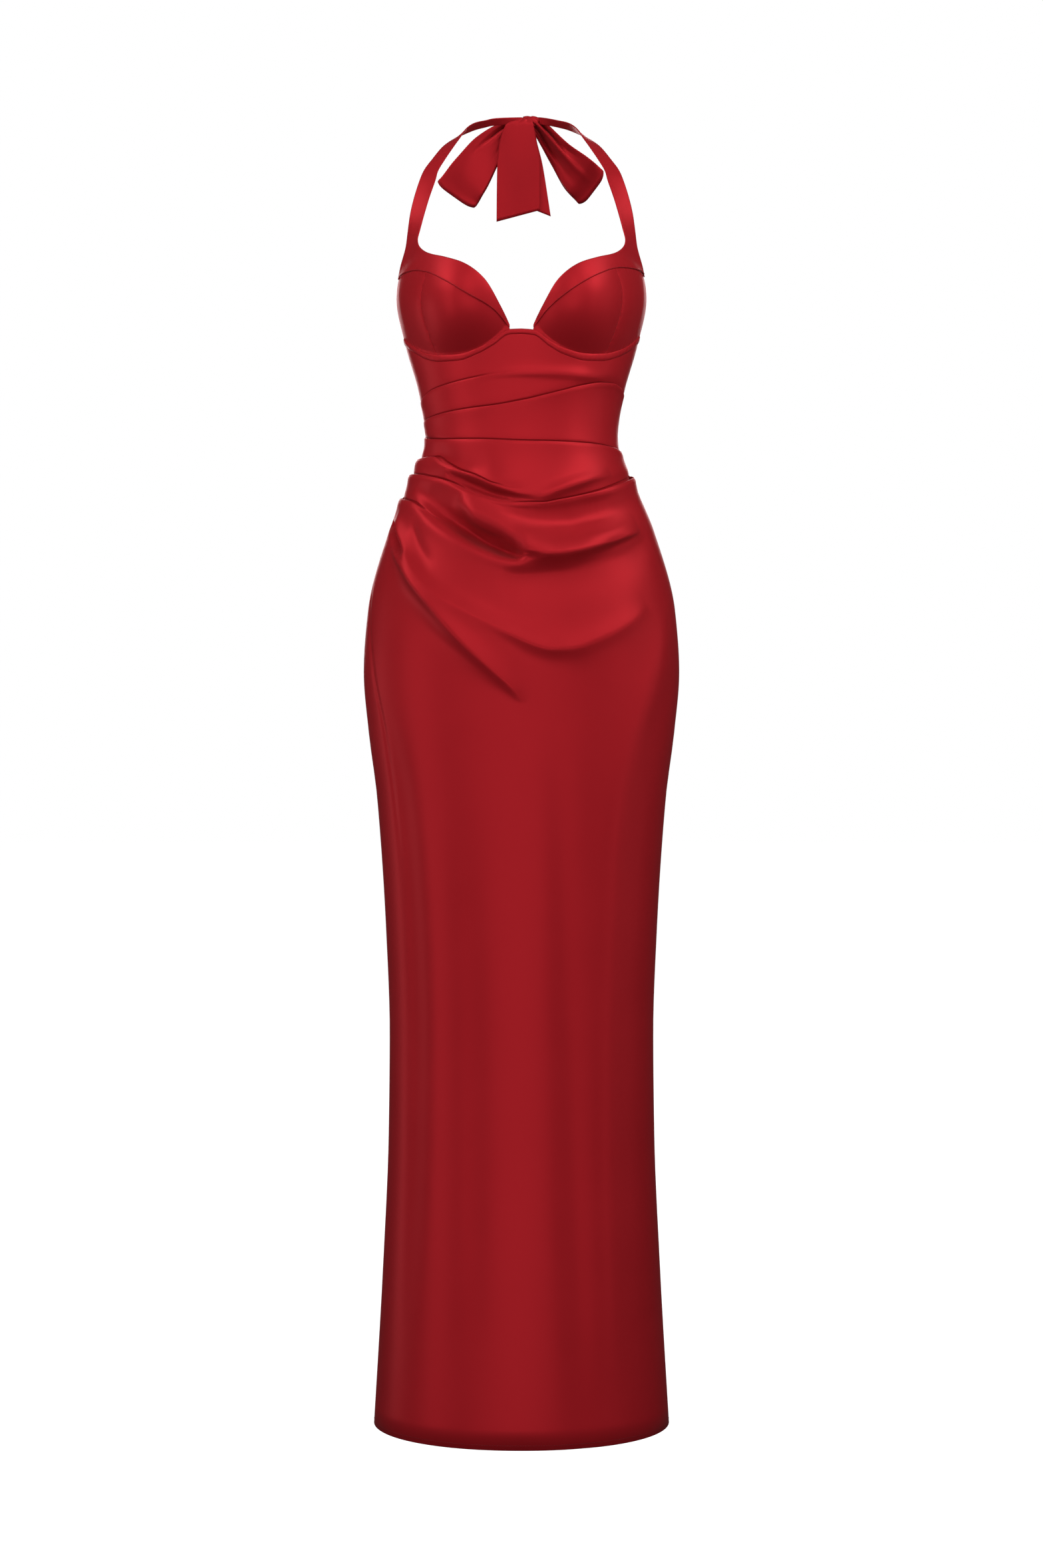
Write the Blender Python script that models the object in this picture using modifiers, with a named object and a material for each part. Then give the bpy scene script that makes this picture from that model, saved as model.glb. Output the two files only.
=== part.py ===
"""Halter maxi dress, standing in its worn shape with nobody in it.

Units are metres, +Z is up and the front of the dress faces -Y.  The origin is the nape: the
face of the tie knot that rests on the back of the neck, which is what holds the dress up.
Sides are the wearer's, so the wearer's right is at -X.

Every panel is cut from one body surface.  A place on it is named by an angle and a height:
0 degrees is the front centre, -90 the right side seam, +90 the left one, 180 the back centre.
"""
import math

import bmesh
import bpy
from mathutils import Vector


def named(columns, rows):
    """Rows of a table as dictionaries by column name."""
    return [dict(zip(columns, row)) for row in rows]


# ---------------------------------------------------------------- driving dimensions
WALL = 0.0014            # thickness of a cloth panel with its turnings
SEAM_GAP = 0.0005        # clear width left between two panels at a seam
AXIS_Y = -0.060          # depth of the body's upright axis, in front of the nape
SQUARENESS = 2.1         # 2 is an ellipse, more is squarer
HEM_Z = -1.541           # height of the hem

# Body sections from the underarm down to the hem.
SECTIONS = named(("height", "half_width", "front_depth", "back_depth"), (
    (-0.120, 0.1230, 0.070, 0.085),
    (-0.170, 0.1370, 0.078, 0.090),
    (-0.228, 0.1465, 0.088, 0.090),   # bust
    (-0.281, 0.1360, 0.092, 0.084),
    (-0.344, 0.1188, 0.088, 0.077),   # ribs
    (-0.392, 0.1128, 0.086, 0.076),   # waist
    (-0.437, 0.1290, 0.090, 0.086),
    (-0.500, 0.1555, 0.098, 0.105),
    (-0.593, 0.1800, 0.105, 0.122),
    (-0.664, 0.1848, 0.107, 0.126),   # hip
    (-0.734, 0.1790, 0.107, 0.121),
    (-0.812, 0.1690, 0.106, 0.110),
    (-0.968, 0.1585, 0.104, 0.101),
    (-1.085, 0.1544, 0.103, 0.100),   # knee
    (-1.202, 0.1556, 0.105, 0.102),
    (-1.358, 0.1622, 0.114, 0.110),
    (-1.560, 0.1738, 0.130, 0.125),   # just past the hem
))

# The two cups swell the front by a low dome each.
CUP_X = 0.078            # sideways place of a dome's top
CUP_Z = -0.232           # height of a dome's top
CUP_HALF_WIDTH = 0.074
CUP_RISE = 0.105         # reach of a dome above its top
CUP_DROP = 0.072         # reach of a dome below its top
CUP_FULLNESS = 0.036

# The side seam leaves the true side above the ribs, where the back panel wraps forward.
SEAM_ANGLE_LOW = 90.0    # below the ribs
SEAM_ANGLE_TOP = 80.0    # at the underarm
SEAM_RIBS_Z = -0.345
SEAM_UNDERARM_Z = -0.195

# Lines of the bodice: angle from the front centre, then heights on the right and left side.
LINE_COLUMNS = ("angle", "right", "left")
CUP_SEAM_TOP = named(LINE_COLUMNS, (   # where the upper cup band is sewn to the cups
    (5, -0.2770, -0.2770),
    (12, -0.2590, -0.2570),
    (24, -0.2430, -0.2350),
    (36, -0.2260, -0.2190),
    (47, -0.2135, -0.2090),
    (60, -0.2070, -0.2040),
    (72, -0.2060, -0.2020),
    (80, -0.2080, -0.2050),
))
WIRE_LINE = named(LINE_COLUMNS, (      # lower edge of the cups
    (0, -0.2785, -0.2785),
    (5, -0.2790, -0.2795),
    (13, -0.2905, -0.2915),
    (21, -0.2990, -0.2995),
    (33, -0.3050, -0.3040),
    (46, -0.3040, -0.3020),
    (57, -0.2990, -0.2960),
    (70, -0.2870, -0.2850),
    (84, -0.2750, -0.2720),
))
CASING_DEPTH = named(LINE_COLUMNS, (   # depth of the casing strip below the wire line
    (0, 0.0060, 0.0060),
    (13, 0.0060, 0.0065),
    (33, 0.0070, 0.0080),
    (57, 0.0075, 0.0085),
    (84, 0.0085, 0.0090),
))
BRIDGE_ANGLE = 5.0       # where a cup meets the bridge
CUP_SEAM_ANGLE = 47.0    # upright cup seam at its ends
CENTRE_COLUMNS = 7       # panel columns from the bridge to the cup seam
SIDE_COLUMNS = 6         # panel columns from the cup seam to the side seam
CUP_SEAM_BOW = 3.0       # how far the seam bows to the side at half height, in degrees
CASING_PROUD = 0.0012    # how far the casing stands out along its middle
CASING_EDGE_PROUD = 0.4  # share of that at its two edges
CUP_ROWS = 8

# Neckline edge of the upper cup band, opposite the angles of the seam below it.
NECKLINE = named(("angle", "half_width", "height"), (
    (5, 0.0135, -0.2745),
    (12, 0.0245, -0.2545),
    (24, 0.0430, -0.2255),
    (36, 0.0640, -0.2090),
    (47, 0.0850, -0.2000),
    (60, 0.1020, -0.1930),
    (72, 0.1110, -0.1870),
    (80, 0.1160, -0.1810),
))

# Neck strap from the cup's top corner to the knot: both edges at each crossing, for +X.
STRAP = named(("outer_x", "outer_y", "outer_z", "inner_x", "inner_y", "inner_z"), (
    (0.1395, -0.103, -0.1930, 0.1180, -0.136, -0.1775),
    (0.1335, -0.107, -0.1740, 0.1190, -0.128, -0.1690),
    (0.1308, -0.106, -0.1550, 0.1163, -0.119, -0.1560),
    (0.1281, -0.102, -0.1350, 0.1112, -0.111, -0.1370),
    (0.1238, -0.096, -0.1150, 0.1061, -0.103, -0.1170),
    (0.1173, -0.088, -0.0940, 0.0988, -0.092, -0.0960),
    (0.1115, -0.080, -0.0805, 0.0930, -0.083, -0.0840),
    (0.1018, -0.069, -0.0645, 0.0886, -0.073, -0.0660),
    (0.0913, -0.055, -0.0485, 0.0804, -0.063, -0.0505),
    (0.0815, -0.042, -0.0375, 0.0729, -0.053, -0.0370),
    (0.0710, -0.029, -0.0290, 0.0645, -0.043, -0.0235),   # the strap turns over the shoulder
    (0.0560, -0.017, -0.0195, 0.0550, -0.031, -0.0125),
    (0.0435, -0.008, -0.0140, 0.0425, -0.018, -0.0058),
    (0.0310, -0.002, -0.0105, 0.0295, -0.008, 0.0005),
))
STRAP_KNOT_OUTER = (0.0048, -0.0030)   # depth and height of its edges at the knot
STRAP_KNOT_INNER = (0.0042, 0.0042)
STRAP_STEPS = 2          # rows made between two crossings of the table
BAND_ACROSS = 3          # panel columns across a band or strap

# The tie: a knot a little to the wearer's left of the nape, two loops and two ends.
KNOT_CENTRE = Vector((0.0085, 0.0055, 0.0010))
KNOT_HALF = Vector((0.0105, 0.0050, 0.0052))
KNOT_ROUNDING = 0.5      # 1 is an ellipsoid, less is boxier
KNOT_CLEAR = 0.0004
KNOT_SEGMENTS = 16
KNOT_RINGS = 10
TIE_WALL = 0.0010        # doubled satin of the tie
LOOP_COLUMNS = ("upper_x", "upper_z", "lower_x", "lower_z", "depth", "spread")
LOOP_OUTWARD = 8         # rows along each of a loop's two layers
LOOP_TURN = 4            # rows round the fold at its end
LOOP_ACROSS = 3
LOOPS = {                # edges of a loop from the knot outward, and the space between layers
    "right": named(LOOP_COLUMNS, (
        (-0.0026, 0.0035, -0.0026, -0.0030, 0.0088, 0.0022),
        (-0.0250, -0.0020, -0.0120, -0.0160, 0.0110, 0.0050),
        (-0.0537, -0.0177, -0.0288, -0.0480, 0.0160, 0.0090),
        (-0.0760, -0.0400, -0.0430, -0.0760, 0.0200, 0.0110),
        (-0.1010, -0.0690, -0.0577, -0.1010, 0.0235, 0.0080),
    )),
    "left": named(LOOP_COLUMNS, (
        (0.0196, 0.0035, 0.0196, -0.0030, 0.0088, 0.0022),
        (0.0330, -0.0060, 0.0250, -0.0220, 0.0110, 0.0050),
        (0.0561, -0.0264, 0.0360, -0.0480, 0.0160, 0.0090),
        (0.0790, -0.0400, 0.0500, -0.0740, 0.0200, 0.0110),
        (0.0970, -0.0600, 0.0710, -0.0950, 0.0235, 0.0080),
    )),
}
END_COLUMNS = ("right_x", "right_z", "left_x", "left_z", "depth")
END_ROWS = 10
END_ACROSS = 4
ENDS = {                 # edges of a tie end from the knot down to its slanted cut
    "tie_end_front": named(END_COLUMNS, (
        (-0.0010, -0.0047, 0.0170, -0.0047, 0.0036),
        (-0.0235, -0.0200, 0.0190, -0.0200, 0.0010),
        (-0.0288, -0.0480, 0.0216, -0.0480, 0.0040),
        (-0.0296, -0.1178, 0.0216, -0.1042, 0.0160),
    )),
    "tie_end_back": named(END_COLUMNS, (
        (0.0000, -0.0049, 0.0170, -0.0049, 0.0062),
        (-0.0190, -0.0220, 0.0200, -0.0225, 0.0042),
        (-0.0170, -0.0500, 0.0250, -0.0500, 0.0072),
        (-0.0120, -0.0920, 0.0348, -0.1106, 0.0192),
    )),
}

# Front panel: lines that its rows follow.  A "lip" is how far the cloth below the line stands
# out over the cloth above it, a "swell" is a soft ridge on the line.
PLEAT_COLUMNS = ("angle", "height", "lip", "swell")
PLEATS = {
    "ribs_upper": named(PLEAT_COLUMNS, (
        (-90, -0.352, 0.0020, 0.0), (-59, -0.341, 0.0030, 0.0), (-25, -0.332, 0.0012, 0.0010),
        (2, -0.326, 0.0, 0.0020), (44, -0.328, 0.0, 0.0020), (90, -0.326, 0.0, 0.0),
    )),
    "ribs_lower": named(PLEAT_COLUMNS, (
        (-90, -0.374, 0.0020, 0.0), (-50, -0.369, 0.0030, 0.0), (-14, -0.364, 0.0030, 0.0),
        (13, -0.352, 0.0030, 0.0), (34, -0.340, 0.0030, 0.0), (60, -0.333, 0.0040, 0.0),
        (90, -0.342, 0.0030, 0.0),
    )),
    "waist": named(PLEAT_COLUMNS, (
        (-90, -0.390, 0.0035, 0.0), (-51, -0.399, 0.0035, 0.0), (-9, -0.404, 0.0035, 0.0),
        (44, -0.405, 0.0035, 0.0), (90, -0.409, 0.0030, 0.0),
    )),
    "pinch": named(PLEAT_COLUMNS, (
        (-90, -0.415, 0.0060, 0.0), (-56, -0.419, 0.0045, 0.0), (-32, -0.437, 0.0030, 0.0),
        (-12, -0.454, 0.0010, 0.0), (15, -0.456, 0.0, 0.0), (50, -0.430, 0.0, 0.0),
        (90, -0.422, 0.0, 0.0),
    )),
    "waist_sweep": named(PLEAT_COLUMNS, (
        (-90, -0.434, 0.0050, 0.0), (-49, -0.443, 0.0040, 0.0), (-19, -0.465, 0.0035, 0.0),
        (4, -0.476, 0.0030, 0.0), (37, -0.461, 0.0040, 0.0), (65, -0.446, 0.0050, 0.0),
        (90, -0.435, 0.0040, 0.0),
    )),
    "hip_upper": named(PLEAT_COLUMNS, (
        (-90, -0.461, 0.0040, 0.0), (-60, -0.470, 0.0040, 0.0), (-37, -0.494, 0.0030, 0.0),
        (-12, -0.524, 0.0010, 0.0020), (12, -0.528, 0.0, 0.0090), (36, -0.514, 0.0, 0.0080),
        (60, -0.504, 0.0, 0.0030), (90, -0.492, 0.0, 0.0),
    )),
    "hip_sweep": named(PLEAT_COLUMNS, (
        (-90, -0.490, 0.0, 0.0060), (-62, -0.500, 0.0, 0.0080), (-37, -0.555, 0.0, 0.0060),
        (-14, -0.602, 0.0, 0.0050), (9, -0.647, 0.0, 0.0050), (32, -0.634, 0.0, 0.0040),
        (60, -0.594, 0.0, 0.0010), (90, -0.560, 0.0, 0.0),
    )),
    "hip_crease": named(PLEAT_COLUMNS, (
        (-90, -0.512, 0.0, -0.0030), (-52, -0.541, 0.0, -0.0050), (-34, -0.581, 0.0, -0.0050),
        (-16, -0.637, 0.0, -0.0030), (1, -0.700, 0.0, 0.0), (40, -0.700, 0.0, 0.0),
        (90, -0.640, 0.0, 0.0),
    )),
}
LIP_RUN = 0.0016         # height over which a lip rises
LIP_FADE = 0.024         # height over which the cloth below falls back to the body
SWELL_REACH = 0.011      # half height of a soft ridge
SKIRT_ROWS = 11

# Back panels.
BACK_NECK = named(("angle", "height"), (   # top edge
    (80, -0.2065),
    (90, -0.2250),
    (108, -0.2620),
    (130, -0.2860),
    (155, -0.2980),
    (180, -0.3000),
))
BACK_COLUMNS = 9
BACK_UPPER_ROWS = 17
BACK_LOWER_ROWS = 10
BACK_SPLIT_Z = -0.420
BACK_EDGE_CLEAR = 1.6    # the back's side edge keeps this many half gaps from the seam

# Closing zip at the back centre.
SLIDER_SIZE = Vector((0.0052, 0.0026, 0.0085))
SLIDER_DROP = 0.007      # from the top of the back seam to the middle of the slider
PULL_SIZE = Vector((0.0066, 0.0010, 0.0230))
PULL_HINGE_DROP = 0.0030
SEAT_GAP = 0.0003

CLOTH = {"colour": (0.33, 0.011, 0.016, 1.0), "roughness": 0.38, "metallic": 0.0}
METAL = {"colour": (0.30, 0.03, 0.035, 1.0), "roughness": 0.35, "metallic": 0.6}


# ---------------------------------------------------------------- helpers
def clear_scene():
    for old in list(bpy.data.objects):
        bpy.data.objects.remove(old, do_unlink=True)


def column(table, key, value):
    """(key, value) pairs of a table, in rising order of the key."""
    return sorted((row[key], row[value]) for row in table)


def smooth(pairs, x):
    """Curve through the pairs that never overshoots them (monotone cubic)."""
    xs, ys = zip(*pairs)
    if x <= xs[0]:
        return ys[0]
    if x >= xs[-1]:
        return ys[-1]
    steps = [xs[i + 1] - xs[i] for i in range(len(xs) - 1)]
    slopes = [(ys[i + 1] - ys[i]) / steps[i] for i in range(len(steps))]

    def tangent(i):
        if i == 0:
            return slopes[0]
        if i == len(slopes):
            return slopes[-1]
        before, after = slopes[i - 1], slopes[i]
        if before * after <= 0:
            return 0.0
        return 2 * before * after / (before + after)

    i = max(k for k in range(len(steps)) if xs[k] <= x)
    t = (x - xs[i]) / steps[i]
    rise = (3 - 2 * t) * t * t
    lead = t * (1 - t) ** 2 * tangent(i) * steps[i]
    lag = t * t * (1 - t) * tangent(i + 1) * steps[i]
    return ys[i] + rise * (ys[i + 1] - ys[i]) + lead - lag


def section(value, z):
    """Half width or depth of the body at a height."""
    return smooth(column(SECTIONS, "height", value), z)


def line_height(table, angle):
    """Height of a bodice line at a signed angle."""
    return smooth(column(table, "angle", "right" if angle < 0 else "left"), abs(angle))


def seam_angle(height):
    """Angle of the side seam at a height, from the front centre."""
    t = (height - SEAM_RIBS_Z) / (SEAM_UNDERARM_Z - SEAM_RIBS_Z)
    t = max(0.0, min(1.0, t))
    return blend(SEAM_ANGLE_LOW, SEAM_ANGLE_TOP, t * t * (3 - 2 * t))


def column_angle(share, height):
    """Angle of a front column: its share counts 1 to the cup seam and 2 to the side seam."""
    size = abs(share)
    if size <= 1:
        angle = blend(0.0, CUP_SEAM_ANGLE, size)
    else:
        angle = blend(CUP_SEAM_ANGLE, seam_angle(height) - seam_share(height), size - 1)
    return math.copysign(angle, share)


def half_columns():
    """Shares of the columns on one side, from the bridge to the side seam."""
    bridge = BRIDGE_ANGLE / CUP_SEAM_ANGLE
    centre = [blend(bridge, 1.0, k / CENTRE_COLUMNS) for k in range(CENTRE_COLUMNS + 1)]
    return centre + [1 + k / SIDE_COLUMNS for k in range(1, SIDE_COLUMNS + 1)]


def front_columns():
    """Shares of the front's columns, lined up with the cup pieces above."""
    half = half_columns()
    return [-h for h in reversed(half)] + [0.0] + half


def column_place(share, line):
    """Angle and height where a front column meets a line given as a height by angle."""
    z = line(share * CUP_SEAM_ANGLE)
    for _ in range(3):
        z = line(column_angle(share, z))
    return column_angle(share, z), z


def cup_swell(x, z):
    """How far the cups stand out from the body surface."""
    reach = CUP_RISE if z > CUP_Z else CUP_DROP
    radius = ((abs(x) - CUP_X) / CUP_HALF_WIDTH) ** 2 + ((z - CUP_Z) / reach) ** 2
    return CUP_FULLNESS * max(0.0, 1 - radius) ** 1.1


def body(angle, z, out=0.0):
    """Point of the body surface at an angle and a height, moved outward by `out`."""
    half_width = section("half_width", z)
    front = abs(angle) < 90
    depth = section("front_depth" if front else "back_depth", z)
    s, c = math.sin(math.radians(angle)), math.cos(math.radians(angle))
    power = 2 / SQUARENESS
    x = half_width * math.copysign(abs(s) ** power, s)
    y = AXIS_Y - depth * math.copysign(abs(c) ** power, c)
    outward = Vector((s / half_width, -c / depth, 0)).normalized()
    place = Vector((x, y, z)) + outward * out
    if front:
        place.y -= cup_swell(x, z) * min(1.0, 4 * c)
    return place


def angle_at(x, z):
    """Angle of the front surface at a sideways place."""
    share = min(1.0, abs(x) / section("half_width", z)) ** (SQUARENESS / 2)
    return math.copysign(math.degrees(math.asin(share)), x)


def seam_share(z):
    """Half a seam's gap as an angle."""
    return math.degrees(0.5 * SEAM_GAP / section("front_depth", z))


def centre_share(z):
    """Angle that leaves half a seam's gap at the back centre."""
    share = 0.5 * SEAM_GAP / section("half_width", z)
    return math.degrees(math.asin(share ** (SQUARENESS / 2)))


def blend(a, b, t):
    return a + (b - a) * t


def make_material(name, look):
    material = bpy.data.materials.new(name)
    material.use_nodes = True
    shader = material.node_tree.nodes["Principled BSDF"]
    shader.inputs["Base Color"].default_value = look["colour"]
    shader.inputs["Roughness"].default_value = look["roughness"]
    shader.inputs["Metallic"].default_value = look["metallic"]
    material.diffuse_color = look["colour"]
    return material


def add_object(name, mesh, look):
    """Put a mesh in the dress collection under its own material."""
    mesh.materials.append(make_material(name + "_finish", look))
    thing = bpy.data.objects.new(name, mesh)
    DRESS.objects.link(thing)
    mesh.shade_smooth()
    return thing


def cloth_sheet(name, rows, wall=WALL, flip=False):
    """Cloth panel from rows of points on its outer face, thickened inward."""
    mesh = bpy.data.meshes.new(name)
    sheet = bmesh.new()
    grid = [[sheet.verts.new(p) for p in row] for row in rows]
    for upper, lower in zip(grid, grid[1:]):
        for i in range(len(upper) - 1):
            corners = (upper[i], lower[i], lower[i + 1], upper[i + 1])
            sheet.faces.new(tuple(reversed(corners)) if flip else corners)
    sheet.to_mesh(mesh)
    sheet.free()
    panel = add_object(name, mesh, CLOTH)
    shell = panel.modifiers.new("Wall", "SOLIDIFY")
    shell.thickness = wall
    shell.offset = -1
    return panel


# ---------------------------------------------------------------- bodice
def wire_line(angle):
    return line_height(WIRE_LINE, angle)


def band_seam(angle):
    return line_height(CUP_SEAM_TOP, angle)


def make_cup(name, side, shares):
    """Cup piece over the front columns `shares`, from the wire line up to the band seam."""
    last = len(shares) - 1
    centre_piece = shares[-1] == 1
    grid = []
    for r in range(CUP_ROWS + 1):
        up = 1 - r / CUP_ROWS
        row = []
        for k, share in enumerate(shares):
            low = column_place(side * share, wire_line)[1] + SEAM_GAP / 2
            high = column_place(side * share, band_seam)[1] - SEAM_GAP / 2
            z = blend(low, high, up)
            near_seam = k / last if centre_piece else 1 - k / last
            angle = abs(column_angle(share, z))
            angle += near_seam * CUP_SEAM_BOW * math.sin(math.pi * up)
            if k == 0:
                angle += seam_share(z)
            elif k == last and centre_piece:
                angle -= seam_share(z)
            row.append(body(side * angle, z))
        grid.append(row)
    cloth_sheet(name, grid, flip=side < 0)


def casing_line(part):
    """Height by angle of the casing at a part of its depth."""
    def line(angle):
        depth = line_height(CASING_DEPTH, angle) - SEAM_GAP
        return wire_line(angle) - SEAM_GAP / 2 - part * depth
    return line


def make_casing():
    """Raised strip under both cups; its middle is the bridge."""
    grid = []
    for part, proud in ((0.0, CASING_EDGE_PROUD), (0.5, 1.0), (1.0, CASING_EDGE_PROUD)):
        places = [column_place(share, casing_line(part)) for share in front_columns()]
        grid.append([body(angle, z, CASING_PROUD * proud) for angle, z in places])
    cloth_sheet("underwire_casing", grid)


def strap_edge(row, edge, side):
    """Place of one edge of the strap at a crossing."""
    return Vector((side * row[edge + "_x"], row[edge + "_y"], row[edge + "_z"]))


def halter_rows(side, knot_x):
    """Crossings of a band and strap, from the bridge to the knot: outer and inner edge."""
    rows = []
    for share in half_columns():
        angle, seam_z = column_place(side * share, band_seam)
        outer = body(angle, seam_z + SEAM_GAP / 2)
        half_width = smooth(column(NECKLINE, "angle", "half_width"), abs(angle))
        neck_z = smooth(column(NECKLINE, "angle", "height"), abs(angle))
        inner = body(side * angle_at(half_width, neck_z), neck_z)
        rows.append((outer, inner))
    crossings = [tuple(strap_edge(row, edge, side) for edge in ("outer", "inner")) for row in STRAP]
    crossings.append((Vector((knot_x, *STRAP_KNOT_OUTER)), Vector((knot_x, *STRAP_KNOT_INNER))))
    path = [rows[-1]] + crossings
    for i in range(len(path) - 1):
        for s in range(1, STRAP_STEPS + 1):
            rows.append(tuple(curve_point(path, i, s / STRAP_STEPS, e) for e in (0, 1)))
    return rows


def curve_point(path, i, t, edge):
    """Point of a smooth curve through one edge's places (Catmull-Rom)."""
    before = path[max(i - 1, 0)][edge]
    start, end = path[i][edge], path[i + 1][edge]
    after = path[min(i + 2, len(path) - 1)][edge]
    lead, lag = (end - before) / 2, (after - start) / 2
    rise = (3 - 2 * t) * t * t
    return start + (end - start) * rise + lead * t * (1 - t) ** 2 - lag * t * t * (1 - t)


def on_front(point):
    """The same sideways place and height, on the front surface."""
    return body(angle_at(point.x, point.z), point.z)


def make_halter(name, side, knot_x):
    grid = []
    for k, (outer, inner) in enumerate(halter_rows(side, knot_x)):
        row = [outer.lerp(inner, c / BAND_ACROSS) for c in range(BAND_ACROSS + 1)]
        if k < len(half_columns()):
            row = [row[0]] + [on_front(p) for p in row[1:-1]] + [row[-1]]
        grid.append(row)
    cloth_sheet(name, grid, flip=side > 0)


# ---------------------------------------------------------------- front and back panels
def pleat_value(name, value, angle):
    return smooth(column(PLEATS[name], "angle", value), angle)


def front_relief(angle, z):
    """How far pleats and folds move the front cloth outward."""
    out = 0.0
    for name in PLEATS:
        below = pleat_value(name, "height", angle) - z
        if below > 0:
            out += pleat_value(name, "lip", angle) * math.exp(-(below / LIP_FADE) ** 1.5)
        out += pleat_value(name, "swell", angle) * math.exp(-(below / SWELL_REACH) ** 2)
    return out


def front_top(angle):
    return wire_line(angle) - line_height(CASING_DEPTH, angle) - SEAM_GAP / 2


def front_column(share):
    """Points of the front panel down one column, from the casing to the hem."""
    places = [column_place(share, front_top)]
    for name in PLEATS:
        angle, line = column_place(share, lambda a: pleat_value(name, "height", a))
        for height in (blend(places[-1][1], line, 0.5), line, line - LIP_RUN):
            places.append((column_angle(share, height), height))
    start = places[-1][1]
    for k in range(1, SKIRT_ROWS + 1):
        down = k / SKIRT_ROWS
        height = blend(start, HEM_Z, 0.45 * down + 0.55 * down ** 1.5)
        places.append((column_angle(share, height), height))
    return [body(angle, z, front_relief(angle, z)) for angle, z in places]


def make_front():
    columns = [front_column(share) for share in front_columns()]
    cloth_sheet("front_panel", [list(row) for row in zip(*columns)])


def back_height(angle, row):
    """Height of a back panel's row: close together down to the waist, wider below."""
    top = smooth(column(BACK_NECK, "angle", "height"), angle)
    if row <= BACK_UPPER_ROWS:
        return blend(top, BACK_SPLIT_Z, row / BACK_UPPER_ROWS)
    down = (row - BACK_UPPER_ROWS) / BACK_LOWER_ROWS
    return blend(BACK_SPLIT_Z, HEM_Z, 0.5 * down + 0.5 * down ** 1.5)


def make_back(name, side):
    grid = []
    for r in range(BACK_UPPER_ROWS + BACK_LOWER_ROWS + 1):
        row = []
        for c in range(BACK_COLUMNS + 1):
            across = c / BACK_COLUMNS
            z = back_height(blend(SEAM_ANGLE_TOP, 180.0, across), r)
            front_edge = seam_angle(z) + BACK_EDGE_CLEAR * seam_share(z)
            angle = blend(front_edge, 180 - centre_share(z), across)
            row.append(body(side * angle, z))
        grid.append(row)
    cloth_sheet(name, grid, flip=side < 0)


# ---------------------------------------------------------------- tie
def make_knot():
    bpy.ops.mesh.primitive_uv_sphere_add(segments=KNOT_SEGMENTS, ring_count=KNOT_RINGS)
    knot = bpy.context.object
    mesh = knot.data
    bpy.data.objects.remove(knot, do_unlink=True)
    for vertex in mesh.vertices:
        boxy = [math.copysign(abs(a) ** KNOT_ROUNDING, a) for a in vertex.co]
        vertex.co = Vector(a * b for a, b in zip(boxy, KNOT_HALF)) + KNOT_CENTRE
    add_object("tie_knot", mesh, CLOTH)


def along(table, share):
    """Values of a table at a share of its length, as a dictionary by column name."""
    last = len(table) - 1
    return {name: smooth([(i / last, row[name]) for i, row in enumerate(table)], share)
            for name in table[0]}


def make_loop(name, table):
    """A band that runs out from the knot, turns, and runs back behind itself."""
    stations = [(k / LOOP_OUTWARD, 0.0) for k in range(LOOP_OUTWARD)]
    stations += [(1.0, math.pi * k / LOOP_TURN) for k in range(LOOP_TURN + 1)]
    stations += [(k / LOOP_OUTWARD, math.pi) for k in reversed(range(LOOP_OUTWARD))]
    grid = []
    for share, turned in stations:
        here = along(table, share)
        upper = Vector((here["upper_x"], 0, here["upper_z"]))
        lower = Vector((here["lower_x"], 0, here["lower_z"]))
        outermost = (upper + lower) / 2 - KNOT_CENTRE
        outermost.y = 0
        bulge = outermost.normalized() * here["spread"] * 0.5 * math.sin(turned)
        depth = here["depth"] - here["spread"] * 0.5 * math.cos(turned)
        shift = bulge + Vector((0, depth, 0))
        grid.append([upper.lerp(lower, c / LOOP_ACROSS) + shift for c in range(LOOP_ACROSS + 1)])
    cloth_sheet(name, grid, wall=TIE_WALL, flip=name.endswith("right"))


def make_end(name, table):
    grid = []
    for r in range(END_ROWS + 1):
        here = along(table, r / END_ROWS)
        right = Vector((here["right_x"], here["depth"], here["right_z"]))
        left = Vector((here["left_x"], here["depth"], here["left_z"]))
        grid.append([right.lerp(left, c / END_ACROSS) for c in range(END_ACROSS + 1)])
    cloth_sheet(name, grid, wall=TIE_WALL)


# ---------------------------------------------------------------- zip
def box_mesh(name, size, centre):
    mesh = bpy.data.meshes.new(name)
    block = bmesh.new()
    bmesh.ops.create_cube(block, size=1.0)
    bmesh.ops.scale(block, vec=size, verts=block.verts)
    bmesh.ops.translate(block, vec=centre, verts=block.verts)
    block.to_mesh(mesh)
    block.free()
    return mesh


def make_zip():
    z = BACK_NECK[-1]["height"] - SLIDER_DROP
    seat_y = max(body(180, z + end * SLIDER_SIZE.z / 2).y for end in (-1, 0, 1))
    middle = Vector((0, seat_y + SEAT_GAP + SLIDER_SIZE.y / 2, z))
    slider = add_object("zip_slider", box_mesh("zip_slider", SLIDER_SIZE, middle), METAL)
    slider.data.shade_flat()
    hinge = middle + Vector((0, SLIDER_SIZE.y / 2 + SEAT_GAP + PULL_SIZE.y / 2, PULL_HINGE_DROP))
    drop = Vector((0, 0, -PULL_SIZE.z / 2 + PULL_SIZE.y / 2))
    pull = add_object("zip_pull", box_mesh("zip_pull", PULL_SIZE, drop), METAL)
    pull.data.shade_flat()
    pull.location = hinge


# ---------------------------------------------------------------- the dress
clear_scene()
DRESS = bpy.data.collections.new("halter_maxi_dress")
bpy.context.scene.collection.children.link(DRESS)

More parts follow.
